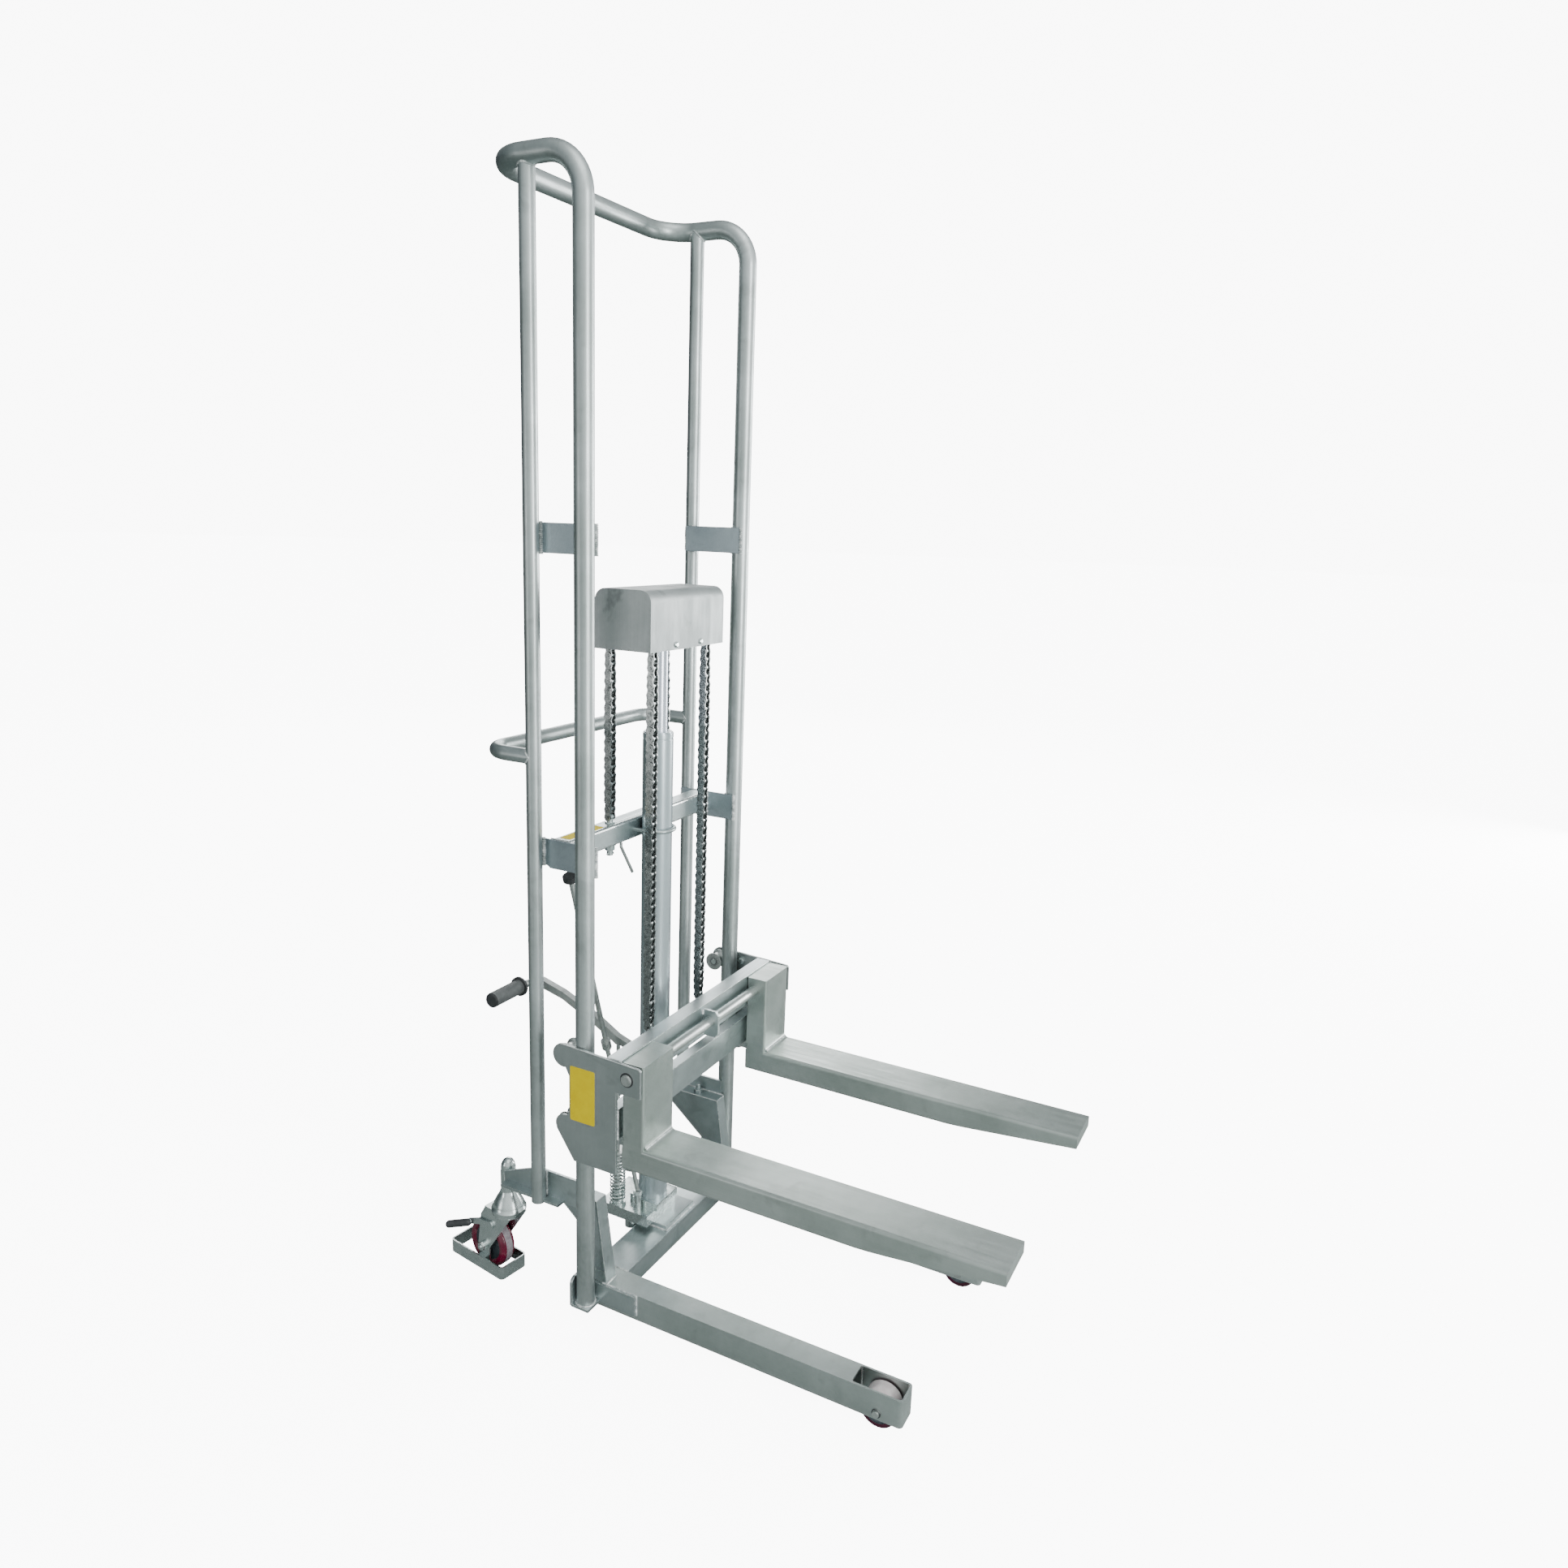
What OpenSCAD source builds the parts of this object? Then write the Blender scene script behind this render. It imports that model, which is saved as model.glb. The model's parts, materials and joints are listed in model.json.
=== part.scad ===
// Hand pallet stacker of welded stainless steel. A foot pump lifts a ram between two round
// uprights, and two roller chains over the ram's head raise the fork carriage twice as far.
// Millimetres. X runs across the machine, the forks point along -Y, Z is up, the floor is z = 0.
// The origin lies on the floor under the middle of the machine's length and width.

/* [Mast] */
// Overall height to the top of the mast loop
mast_h = 2035; // [1960:5:2150]
// Half the distance between the two front uprights' axes
mast_half = 257; // [250:1:275]
// Diameter of the front uprights and of the loop
tube_d = 34; // [30:1:36]
// Radius of the loop's bends at the tube's centreline
bend_r = 68; // [60:1:68]
// How far the loop's crossbar lies behind the front uprights
loop_back = 185; // [180:1:210]
// Height of the front uprights' lower ends above the floor
tube_z0 = 38; // [34:1:42]
// Diameter of the rear uprights
rear_d = 27; // [22:1:30]
// How far the rear uprights lie behind the front ones
rear_y = 111.5; // [100:0.5:114]
// Height of the rear uprights' lower ends
rear_z0 = 210; // [200:1:225]
// Thickness of the tie plates between front and rear uprights
tie_t = 5; // [3:0.5:7]
// Top of the upper tie plates
tie_top = 1462; // [1400:2:1500]
// Height of the upper tie plates
tie_h = 50; // [35:1:60]

/* [Anchor crossbar and handle] */
// Top of the crossbar that holds the chains
bar_top = 918; // [900:1:940]
// Height of the crossbar's box section
bar_h = 40; // [36:1:46]
// Depth of the crossbar's box section
bar_depth = 38; // [34:1:42]
// Wall of the crossbar
bar_wall = 3; // [2:0.5:4]
// Corner radius of the crossbar
bar_r = 5; // [4:0.5:7]
// Height of the push handle's centreline
handle_z = 1065; // [1010:5:1120]
// How far the push handle's rear bar lies behind the front uprights
handle_back = 220; // [195:1:240]
// Diameter of the push handle
handle_d = 27; // [22:1:30]
// Radius of the push handle's bends
handle_r = 50; // [35:1:60]

/* [Legs] */
// Width of a leg's box section
leg_w = 49; // [46:1:55]
// Height of a leg's box section
leg_h = 52; // [50:1:54]
// Height of a leg's upper face above the floor
leg_top = 72; // [70:1:76]
// Wall of a leg
leg_wall = 4; // [3:0.5:4.5]
// How far a leg reaches in front of the uprights
leg_reach = 625; // [580:5:700]
// Length of the open slot at a leg's tip, for the load roller
slot_len = 94; // [86:1:100]
// Corner radius at a leg's tip, seen from above
tip_r = 8; // [5:0.5:12]
// Diameter of a load roller
load_d = 64; // [60:1:68]
// Side clearance of a load roller in its slot
load_gap = 0.6; // [0.4:0.1:1.5]
// Distance of the load roller's axle from a leg's tip
load_back = 46; // [42:1:50]
// Diameter of a load roller's axle
load_axle_d = 16; // [12:1:18]
// Front edge of the crossmember between the legs
cross_front = 45; // [38:1:60]
// Rear edge of the crossmember, behind the uprights' axes
cross_rear = 27; // [20:1:34]
// Height of the crossmember
cross_h = 43; // [30:1:50]
// Thickness of the foot brackets round the uprights
wrap_t = 6; // [4:0.5:8]
// How far a foot bracket reaches in front of the upright
wrap_front = 98; // [80:1:140]
// Thickness of the plate under each upright
foot_t = 6; // [4:0.5:8]

/* [Gussets and rails] */
// Thickness of the folded leg gussets
gusset_t = 4; // [3:0.5:5]
// Width of a gusset across the machine
gusset_w = 30; // [26:1:36]
// Top of the gussets
gusset_top = 236; // [225:1:245]
// Height of the rear rails' lower edge
rail_z0 = 212; // [206:1:214]
// Height of the rear rails in front of the rear uprights
rail_h = 56; // [45:1:60]
// Thickness of the rear rails
rail_t = 5; // [4:0.5:6]
// Width of the rear rails' outward lip
rail_lip = 17; // [10:1:20]

/* [Casters] */
// Distance of the casters' swivel axes from the middle
caster_x = 222; // [215:1:226]
// How far the swivel axes lie behind the front uprights
caster_y = 212; // [208:1:225]
// Diameter of a caster wheel
caster_d = 102; // [90:2:106]
// Width of a caster wheel
caster_w = 33; // [28:1:34]
// Distance from the swivel axis back to the wheel's axle
trail = 50; // [42:1:54]
// Direction in which the near caster trails, from the X axis
trail_turn = 81.4; // [75:0.1:90]
// Diameter of the socket tube and of the dome nut on it
socket_d = 30; // [27:1:32]
// Diameter of the swivel race
race_d = 68; // [62:1:72]
// Height of the swivel race's lower face
race_z = 142; // [138:1:148]
// Length of the toe guard round the wheel
guard_l = 155; // [148:1:165]
// Width of the toe guard round the wheel
guard_w = 64; // [60:1:72]
// Distance from the swivel axis back to the toe guard's middle
guard_back = 65; // [60:1:70]

/* [Hydraulics] */
// How far the lift cylinder's axis lies behind the front uprights
lift_y = 22; // [20:0.5:24]
// Outer diameter of the lift cylinder
cyl_d = 58; // [52:1:60]
// Wall of the lift cylinder
cyl_wall = 6; // [4:0.5:8]
// Top of the lift cylinder
cyl_top = 1085; // [1060:1:1100]
// Diameter of the piston rod
ram_d = 35; // [30:1:38]
// Diameter of the strap's round bar
strap_d = 8; // [6:1:10]
// Height of the strap
strap_z = 896; // [888:1:906]
// Height of the pump block
block_h = 23; // [18:1:28]
// Distance of the pump from the middle
pump_x = 52; // [48:1:54]
// How far the pump lies behind the front uprights
pump_y = 73; // [68:1:76]
// Diameter of the pump plunger
plunger_d = 16; // [12:1:18]
// Diameter of the pump's push rod
push_d = 8; // [6:1:10]
// Wire of the return spring
wire_d = 3; // [2:0.25:3.5]
// Mean diameter of the return spring
coil_d = 29; // [28:0.5:31]
// Turns of the return spring
coil_turns = 9; // [5:1:12]
// Height of the pedal's pivot
pedal_z = 450; // [430:1:470]
// Thickness of the pedal arm
pedal_t = 15; // [10:1:16]
// Diameter of the pedal's rubber grip
grip_d = 30; // [24:1:34]
// Length of the pedal's rubber grip
grip_l = 87; // [70:1:100]
// Diameter of the release rod
rel_d = 10; // [8:1:12]

/* [Head and chains] */
// Height of the head's axle above the floor, as drawn
head_z = 1295; // [1270:1:1320]
// Diameter of the head's axle
axle_d = 24; // [18:1:28]
// Distance of the chains from the middle
chain_x = 90; // [86:1:96]
// Pitch of the roller chain
pitch = 15.875; // [15.875]
// Diameter of a chain roller
link_roll_d = 10.16; // [9.5:0.02:10.5]
// Height of the chain's link plates
link_h = 14.6; // [13:0.1:15]
// Thickness of the chain's link plates
link_t = 2; // [1.6:0.1:2.2]
// Width between the chain's inner plates
link_in = 9.5; // [8.5:0.1:10.5]
// Half the width of the head's cover
cover_half = 124; // [118:1:130]
// Thickness of the cover's sheet
cover_t = 2; // [1.5:0.5:3]
// Height of the cover
cover_h = 107; // [98:1:112]
// Radius of the cover's top edges
cover_r = 22; // [15:1:26]

/* [Carriage] */
// Thickness of the carriage's side plates
side_t = 5; // [4:0.5:6]
// Clearance between a side plate and the upright
side_gap = 2; // [1.5:0.5:3]
// Top of the side plates
side_top = 554; // [545:1:560]
// Bottom of the side plates
side_low = 339; // [338:1:345]
// Thickness of the carriage's bars
bar_t = 5; // [4:0.5:6]
// Height of the lower bar's middle
low_bar_z = 434; // [430:1:440]
// Height of the lower bar
low_bar_h = 58; // [45:1:65]
// Diameter of the fork shaft
shaft_d = 20; // [16:1:25]
// How far the fork shaft lies under the top of the side plates
shaft_drop = 26; // [22:1:32]
// How far the fork shaft lies in front of the uprights
shaft_y = 106; // [105:1:112]
// Outer diameter of a mast roller
roller_d = 38; // [36:1:40]
// Width of a mast roller
roller_w = 27; // [24:1:28]
// Diameter of the mast rollers' pins
pin_d = 12; // [10:1:14]

/* [Forks] */
// Width of a fork
fork_w = 97; // [70:1:100]
// How far the forks reach in front of the uprights
fork_reach = 785; // [700:5:850]
// Depth of a fork's upright shank
shank_d = 44; // [42:1:50]
// Height of a fork's blade at the heel
blade_h = 47; // [38:1:47]
// Height of the blade's upper face, as drawn
blade_top = 396; // [396:1:400]
// Height of a blade at its tip
tip_h = 23; // [15:1:30]
// Length of the taper at a blade's tip
taper_l = 265; // [150:5:320]
// Radius of a fork's long edges
fork_r = 6; // [3:0.5:9]

/* [Hidden] */
$fn = 48;
// Welded pieces of one body meet across this gap, and turning or sliding ones across the next two.
weld = 0.1;
fit = 0.08;
clear = 0.3;
// Front of the machine to its rear, and the shift that centres it on the origin.
guard_round = 8;
guard_wall = 3;
rear_reach = caster_y + sin(trail_turn) * (guard_back + guard_l / 2 - guard_round)
    + abs(cos(trail_turn)) * (guard_w / 2 - guard_round) + guard_round;
mast_y = (fork_reach - rear_reach) / 2;
// Mast heights and the flat planes beside the uprights.
loop_z = mast_h - tube_d / 2;
tube_in = mast_half - tube_d / 2 - weld;
tube_out = mast_half + tube_d / 2;
rear_x = mast_half - (tube_d - rear_d) / 2;
tie_in = tube_in - tie_t;
rail_in = tube_in - rail_t;
bar_z0 = bar_top - bar_h;
bar_y0 = lift_y + cyl_d / 2 + clear;
bar_mid = bar_y0 + bar_depth / 2;
// Legs.
leg_z0 = leg_top - leg_h;
leg_out = tube_in - wrap_t;
leg_in = leg_out - leg_w;
leg_x = leg_in + leg_w / 2;
load_w = leg_w - 2 * leg_wall - 2 * load_gap;
load_y = load_back - leg_reach;
load_z = load_d / 2;
gusset_in = rail_in - gusset_w;
// Pump and cylinder, from the crossmember upward.
base_t = 10;
block_z0 = leg_top + base_t;
block_top = block_z0 + block_h;
foot_h = 15;
cyl_in = cyl_d - 2 * cyl_wall;
ram_z0 = 262;
coil_rounds = 8;
barrel_d = coil_d * cos(180 / coil_rounds) - wire_d - 2 * clear;
barrel_top = block_top + 45;
spring_z0 = block_top + 6;
spring_top = spring_z0 + 110;
push_top = pedal_z + 8;
pad_r = 8;
// Chains: half a turn of eighteen pitches round the wheel, so the wheel's radius follows.
chain_r = pitch / (2 * sin(10));
wrap_links = 9;
rear_links = 23;
front_links = 48;
front_y = lift_y - chain_r;
back_y = lift_y + chain_r;
link_pin_d = 5.1;
chain_w = link_in + 4 * link_t + 2.4;
rear_low = head_z - rear_links * pitch;
front_low = head_z - front_links * pitch;
hub_in = chain_x - chain_w / 2 - 3;
cover_y = lift_y - 4;
cover_half_y = chain_r + link_h / 2 + 4.5 + cover_t;
cover_top = head_z + 58;
yoke_z0 = cover_top - cover_h - 1;
yoke_t = 12;
// Carriage.
side_in = tube_out + side_gap;
side_out = side_in + side_t;
roller_y = tube_d / 2 + 14.3;
groove_r = tube_d / 2 + clear;
shaft_z = side_top - shaft_drop;
web_low = side_top - 62;
tab_low = side_top - 56;
flange_d = 30;
lobe_r = 22;
roller_up = side_top - 15;
roller_low = 405;
roller_front = 372;
bar_front = 90;
low_front = 84;
side_front = 84;
fork_back = bar_front + 2 * clear;
fork_out = side_in - 4;
fork_in = fork_out - fork_w;

// Everything is drawn from the mast's own plane and then moved to the origin.
module at_mast() {
    translate([0, mast_y, 0]) children();
}

module both_sides() {
    children();
    mirror([1, 0, 0]) children();
}

// Round bars along X and Y.
module bar_x(d, x0, x1) {
    translate([x0, 0, 0]) rotate([0, 90, 0]) cylinder(d = d, h = x1 - x0);
}

module bar_y(d, y0, y1) {
    translate([0, y0, 0]) rotate([-90, 0, 0]) cylinder(d = d, h = y1 - y0);
}

// A round bar from one point to another.
module bar_between(d, a, b) {
    v = b - a;
    turn = atan2(v[1], v[0]);
    lean = acos(v[2] / norm(v));
    translate(a) rotate([0, lean, turn]) cylinder(d = d, h = norm(v));
}

// A round bar with ball ends, from one end's centre to the other's.
module ball_bar(d, a, b) {
    v = b - a;
    turn = atan2(v[1], v[0]);
    lean = acos(v[2] / norm(v));
    translate(a) rotate([0, lean, turn]) rotate_extrude() {
        square([d / 2, norm(v)]);
        for (z = [0, norm(v)]) translate([0, z]) intersection() {
            circle(d = d);
            translate([0, -d]) square([d, 2 * d]);
        }
    }
}

// A plate whose outline is drawn in Y and Z, from x0 to x1.
module plate_x(x0, x1) {
    translate([x0, 0, 0]) rotate([90, 0, 90]) linear_extrude(x1 - x0) children();
}

// A plate whose outline is drawn in X and Z, from y0 to y1.
module plate_y(y0, y1) {
    translate([0, y1, 0]) rotate([90, 0, 0]) linear_extrude(y1 - y0) children();
}

// A rectangle with round corners, from its lower left corner.
module round_rect(w, h, r) {
    translate([r, 0]) square([w - 2 * r, h]);
    translate([0, r]) square([w, h - 2 * r]);
    for (x = [r, w - r], y = [r, h - r]) translate([x, y]) circle(r = r);
}

// The quarter bend of a tube, from the X axis to the Y axis.
module quarter_bend(r, d) {
    rotate_extrude(angle = 90) translate([r, 0]) circle(d = d);
}

// One half of the mast loop, drawn thicker where other tubes are cut to it.
module loop_half(d) {
    translate([mast_half, 0, tube_z0]) cylinder(d = d, h = loop_z - bend_r - tube_z0);
    translate([mast_half, bend_r, loop_z - bend_r])
        rotate([90, 0, 90]) rotate(90) quarter_bend(bend_r, d);
    translate([mast_half, 0, loop_z]) bar_y(d, bend_r, loop_back - bend_r);
    translate([mast_half - bend_r, loop_back - bend_r, loop_z]) quarter_bend(bend_r, d);
}

module mast_tube() {
    color("lightsteelblue") at_mast() {
        both_sides() loop_half(tube_d);
        translate([0, loop_back, loop_z]) bar_x(tube_d, bend_r - mast_half, mast_half - bend_r);
    }
}

module rear_uprights() {
    color("lightsteelblue") at_mast() both_sides() difference() {
        translate([rear_x, rear_y, rear_z0]) cylinder(d = rear_d, h = loop_z - rear_z0);
        translate([mast_half, 0, loop_z]) bar_y(tube_d + 2 * weld, bend_r, loop_back - bend_r);
        translate([mast_half - bend_r, loop_back - bend_r, loop_z])
            quarter_bend(bend_r, tube_d + 2 * weld);
    }
}

// The lower tie is cut away in a long curve along its lower edge.
module tie_plates() {
    tie_low = bar_z0 - 13;
    color("silver") at_mast() both_sides() {
        plate_x(tie_in, tube_in) translate([-8, tie_top - tie_h]) square([rear_y + 12, tie_h]);
        plate_x(tie_in, tube_in) difference() {
            translate([-8, tie_low]) square([rear_y + 12, bar_top - tie_low]);
            translate([rear_y - 8, tie_low - 14]) circle(r = 20);
            translate([rear_y - 8, tie_low - 14]) square([40, 20]);
        }
    }
}

module bar_section(grow) {
    translate([-grow, -grow]) round_rect(bar_depth + 2 * grow, bar_h + 2 * grow, bar_r + grow);
}

module anchor_crossbar() {
    color("silver") at_mast() difference() {
        plate_x(-tie_in, tie_in) translate([bar_y0, bar_z0]) bar_section(0);
        plate_x(-tie_in - 1, tie_in + 1) translate([bar_y0, bar_z0]) bar_section(-bar_wall);
        both_sides() translate([chain_x, back_y, bar_z0 - 1])
            cylinder(d = pin_d + 2 * weld, h = bar_h + 2);
    }
}

module push_handle() {
    arm_end = handle_back - handle_r;
    color("lightsteelblue") at_mast() {
        both_sides() difference() {
            union() {
                translate([rear_x, 0, handle_z]) bar_y(handle_d, rear_y, arm_end);
                translate([rear_x - handle_r, arm_end, handle_z]) quarter_bend(handle_r, handle_d);
            }
            translate([rear_x, rear_y, handle_z - handle_d])
                cylinder(d = rear_d + 2 * weld, h = 2 * handle_d);
        }
        translate([0, handle_back, handle_z]) bar_x(handle_d, handle_r - rear_x, rear_x - handle_r);
    }
}

module base_crossmember() {
    color("silver") at_mast() {
        difference() {
            translate([-leg_in, -cross_front, leg_top - cross_h])
                cube([2 * leg_in, cross_front + cross_rear, cross_h]);
            translate([-leg_in - 1, leg_wall - cross_front, leg_top - cross_h + leg_wall])
                cube([2 * leg_in + 2, cross_front + cross_rear - 2 * leg_wall, cross_h - 2 * leg_wall]);
        }
        translate([-40, -38, leg_top]) cube([104, 38 + cross_rear, base_t]);
    }
}

// Box section with a closed heel. At the tip its upper and lower walls end at the slot.
module leg() {
    slot_y = slot_len - leg_reach;
    difference() {
        union() {
            translate([leg_in, 0, leg_z0]) linear_extrude(leg_h) {
                translate([0, tip_r - leg_reach]) square([leg_w, leg_reach - tip_r + cross_rear]);
                translate([0, -leg_reach]) round_rect(leg_w, 3 * tip_r, tip_r);
            }
        }
        translate([leg_in + leg_wall, slot_y - 1, leg_z0 + leg_wall])
            cube([leg_w - 2 * leg_wall, cross_rear - slot_y - leg_wall, leg_h - 2 * leg_wall]);
        translate([leg_in, 0, leg_z0 - 1]) linear_extrude(leg_h + 2)
            translate([leg_wall, leg_wall - leg_reach])
            round_rect(leg_w - 2 * leg_wall, slot_len - leg_wall, tip_r - leg_wall);
        translate([0, load_y, load_z]) bar_x(load_axle_d + 2 * weld, leg_in - 1, leg_out + 1);
    }
}

module leg_right() {
    color("silver") at_mast() leg();
}

module leg_left() {
    color("silver") at_mast() mirror([1, 0, 0]) leg();
}

// A plate beside each leg that turns behind the upright, and the plate under the upright.
module foot_brackets() {
    hook = tube_d / 2 + weld;
    color("silver") at_mast() both_sides() {
        plate_x(leg_out, tube_in) translate([-wrap_front, 30])
            square([wrap_front + hook + wrap_t, leg_top - 31]);
        plate_y(hook, hook + wrap_t) translate([tube_in - wrap_t, 33]) {
            square([wrap_t + 24, 57]);
            square([wrap_t + 36, 45]);
            translate([wrap_t + 24, 45]) circle(r = 12);
        }
        translate([mast_half - 20, -20, tube_z0 - foot_t]) cube([40, 40, foot_t]);
    }
}

// A folded plate: the web, the flange on top and the flange down its sloping front edge.
module leg_gussets() {
    flange_w = gusset_w - gusset_t;
    color("lightgray") at_mast() both_sides() {
        plate_x(gusset_in, gusset_in + gusset_t) polygon([[-cross_rear - 5, leg_top], [-8, gusset_top],
            [122, gusset_top], [122, gusset_top - 22], [31, leg_top + 67], [cross_rear, leg_top]]);
        plate_x(gusset_in + gusset_t, gusset_in + gusset_t + flange_w) {
            polygon([[-cross_rear - 5, leg_top], [-8, gusset_top], [-8 + gusset_t, gusset_top],
                [gusset_t - cross_rear - 5, leg_top]]);
            translate([-8, gusset_top - gusset_t]) square([130, gusset_t]);
        }
        translate([rail_in - 14, 50, gusset_top]) {
            cylinder(d = 19, h = 7, $fn = 6);
            cylinder(d = 10, h = 18);
        }
    }
}

// An angle on each side: its web narrows behind the rear upright, its lip points outward.
module rear_rails() {
    color("silver") at_mast() both_sides() difference() {
        union() {
            plate_x(rail_in, tube_in) polygon([[0, rail_z0], [0, rail_z0 + rail_h],
                [rear_y + 10, rail_z0 + rail_h], [caster_y - 6, rail_z0 + 22], [caster_y - 6, rail_z0]]);
            plate_x(tube_in, tube_in + rail_lip)
                translate([64, rail_z0]) square([caster_y - 74, rail_t]);
        }
        translate([rear_x, rear_y, 0]) cylinder(d = rear_d + 2 * weld, h = 400);
        translate([caster_x, caster_y, 0]) cylinder(d = socket_d + 2 * weld, h = 400);
    }
}

// Socket tube with its bell, the swivel race under it and the dome nut on top.
module caster_sockets() {
    r = socket_d / 2;
    color("gainsboro") at_mast() both_sides() translate([caster_x, caster_y, 0]) rotate_extrude()
        polygon([[0, race_z], [race_d / 2, race_z], [race_d / 2, race_z + 5],
            [race_d / 2 - 3, race_z + 9], [race_d / 2 - 5, race_z + 16], [race_d / 2 - 10, race_z + 26],
            [r + 3, race_z + 36], [r, race_z + 44], [r, race_z + 84], [r - 0.6, race_z + 84],
            [r - 0.6, race_z + 92], [r - 2, race_z + 99], [r - 5, race_z + 105],
            [r - 10, race_z + 109], [0, race_z + 110]]);
}

// Tube with its closed foot, and the gland with the rod's bore in its top.
module lift_cylinder() {
    color("gainsboro") at_mast() translate([0, lift_y, 0]) difference() {
        union() {
            translate([0, 0, block_top]) cylinder(d = cyl_d, h = cyl_top - block_top - 14);
            translate([0, 0, cyl_top - 14]) cylinder(d = cyl_d - 2, h = 2);
            translate([0, 0, cyl_top - 12]) cylinder(d = cyl_d, h = 10);
            translate([0, 0, cyl_top - 2]) cylinder(d = cyl_d - 4, h = 2);
        }
        translate([0, 0, block_top + 12]) cylinder(d = cyl_in, h = cyl_top - 28 - block_top - 12);
        cylinder(d = ram_d + 2 * fit, h = cyl_top + 1);
        translate([0, 0, -1]) cylinder(d = cyl_d, h = 1);
    }
}

module cylinder_strap() {
    r = cyl_d / 2 + strap_d / 2 + weld;
    color("gainsboro") at_mast() translate([0, lift_y, strap_z]) {
        rotate(180) rotate_extrude(angle = 180) translate([r, 0]) circle(d = strap_d);
        both_sides() translate([r, 0, 0]) bar_y(strap_d, 0, bar_y0 - lift_y - weld);
    }
}

module pump_block() {
    color("whitesmoke") at_mast() {
        difference() {
            union() {
                translate([-64, -7, block_z0]) cube([104, 116, block_h]);
                translate([-38, lift_y - 35, block_top]) cube([76, 70, foot_h]);
            }
            translate([0, lift_y, block_top]) cylinder(d = cyl_d + 2 * weld, h = foot_h + 1);
            translate([-cyl_d, lift_y + 24, block_top]) cube([cyl_d - 30, 40, foot_h + 1]);
        }
        translate([-50, 109, block_z0 + block_h / 2]) rotate([-90, 0, 0]) {
            cylinder(d = 18, h = 5);
            translate([0, 0, 5]) sphere(d = 17);
        }
        translate([-52, 40, block_z0 - 16]) cylinder(d = 24, h = 16);
    }
}

module release_valve() {
    color("gainsboro") at_mast() translate([-49, 26, block_top]) {
        cylinder(d = 15, h = 34);
        translate([0, 0, 34]) cylinder(d = 19, h = 8, $fn = 6);
    }
}

module pump_barrel() {
    color("silver") at_mast() translate([-pump_x, pump_y, block_top]) difference() {
        union() {
            cylinder(d = coil_d + wire_d + 2, h = 6);
            cylinder(d = barrel_d, h = barrel_top - block_top);
        }
        translate([0, 0, 4]) cylinder(d = plunger_d + 2 * fit, h = barrel_top);
    }
}

// The thin tube that leads leaked oil from the gland side back to the tank.
module return_tube() {
    color("gainsboro") at_mast() {
        difference() {
            bar_between(6, [-72, 55, bar_z0 - 8], [-38, 52, 812]);
            translate([0, lift_y, 700]) cylinder(d = cyl_d + 2 * weld, h = 300);
        }
        translate([-72, 55, bar_z0 - 8]) sphere(d = 6);
        translate([-72, 55, bar_z0 - 8]) cylinder(d = 6, h = 8 - weld);
    }
}

// A lug on the cylinder's side with the pedal's pin.
module pedal_bracket() {
    lug = pump_x + pedal_t / 2 + clear;
    color("silver") at_mast() {
        difference() {
            translate([-lug - 6, lift_y - 12, pedal_z - 13]) cube([lug + 6, 32, 26]);
            translate([0, lift_y, pedal_z - 20]) cylinder(d = cyl_d + 2 * weld, h = 40);
            translate([-lug, lift_y - 13, pedal_z - 14]) cube([pedal_t + 2 * clear, 34, 28]);
        }
        translate([0, lift_y + 6, pedal_z]) bar_x(pin_d, -lug - 9, pedal_t - lug + 8);
    }
}

module load_axles() {
    color("gainsboro") at_mast() both_sides() translate([0, load_y, load_z]) {
        bar_x(load_axle_d, leg_in - 3, leg_out + 1);
        bar_x(load_axle_d - 4, leg_out + 1, leg_out + 5);
    }
}

// A plate of one chain link: two round ends and a waist, from x0, with its pins at z and z + pitch.
module link_plate(x0, h) {
    n = 5;
    r = h / 2;
    top = [for (i = [0 : n]) [r * cos(180 * i / n), pitch + r * sin(180 * i / n)]];
    low = [for (i = [0 : n]) [-r * cos(180 * i / n), -r * sin(180 * i / n)]];
    translate([x0, 0, 0]) rotate([90, 0, 90]) linear_extrude(link_t)
        polygon(concat(top, [[-0.78 * r, pitch / 2]], low, [[0.78 * r, pitch / 2]]));
}

// The two plates of a link: a narrow pair, or the wide pair outside it.
module link_pair(wide) {
    x = wide ? link_in / 2 + link_t + 0.2 : link_in / 2;
    h = wide ? link_h - 1.2 : link_h;
    link_plate(x, h);
    link_plate(-x - link_t, h);
}

module link_pin() {
    bar_x(link_roll_d, -link_in / 2, link_in / 2);
    bar_x(link_pin_d, -chain_w / 2, chain_w / 2);
}

// A straight stretch that hangs from the pin at its top, which belongs to the next stretch.
module chain_run(links, first_wide) {
    for (i = [0 : links - 1]) {
        wide = (i + first_wide) % 2 == 0;
        translate([0, 0, -(i + 1) * pitch]) {
            if (i == 0) difference() {
                link_pair(wide);
                translate([0, 0, pitch]) bar_x(link_pin_d + 0.2, -chain_w, chain_w);
                translate([0, 0, pitch]) bar_x(link_h + 0.4, -link_in / 2 - 2 * link_t * (wide ? 0.55 : 0),
                    link_in / 2 + 2 * link_t * (wide ? 0.55 : 0));
            } else link_pair(wide);
            link_pin();
        }
    }
}

module chain_rear() {
    color("dimgray") at_mast() both_sides() translate([chain_x, back_y, head_z]) chain_run(rear_links, 0);
}

module chain_front() {
    color("dimgray") at_mast() both_sides() translate([chain_x, front_y, head_z]) chain_run(front_links, 0);
}

module chain_wraps() {
    color("dimgray") at_mast() both_sides() translate([chain_x, lift_y, head_z])
        for (i = [0 : wrap_links]) rotate([20 * i, 0, 0]) translate([0, chain_r, 0]) {
            link_pin();
            if (i < wrap_links) rotate([10, 0, 0]) link_pair(i % 2 == 1);
        }
}

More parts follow.
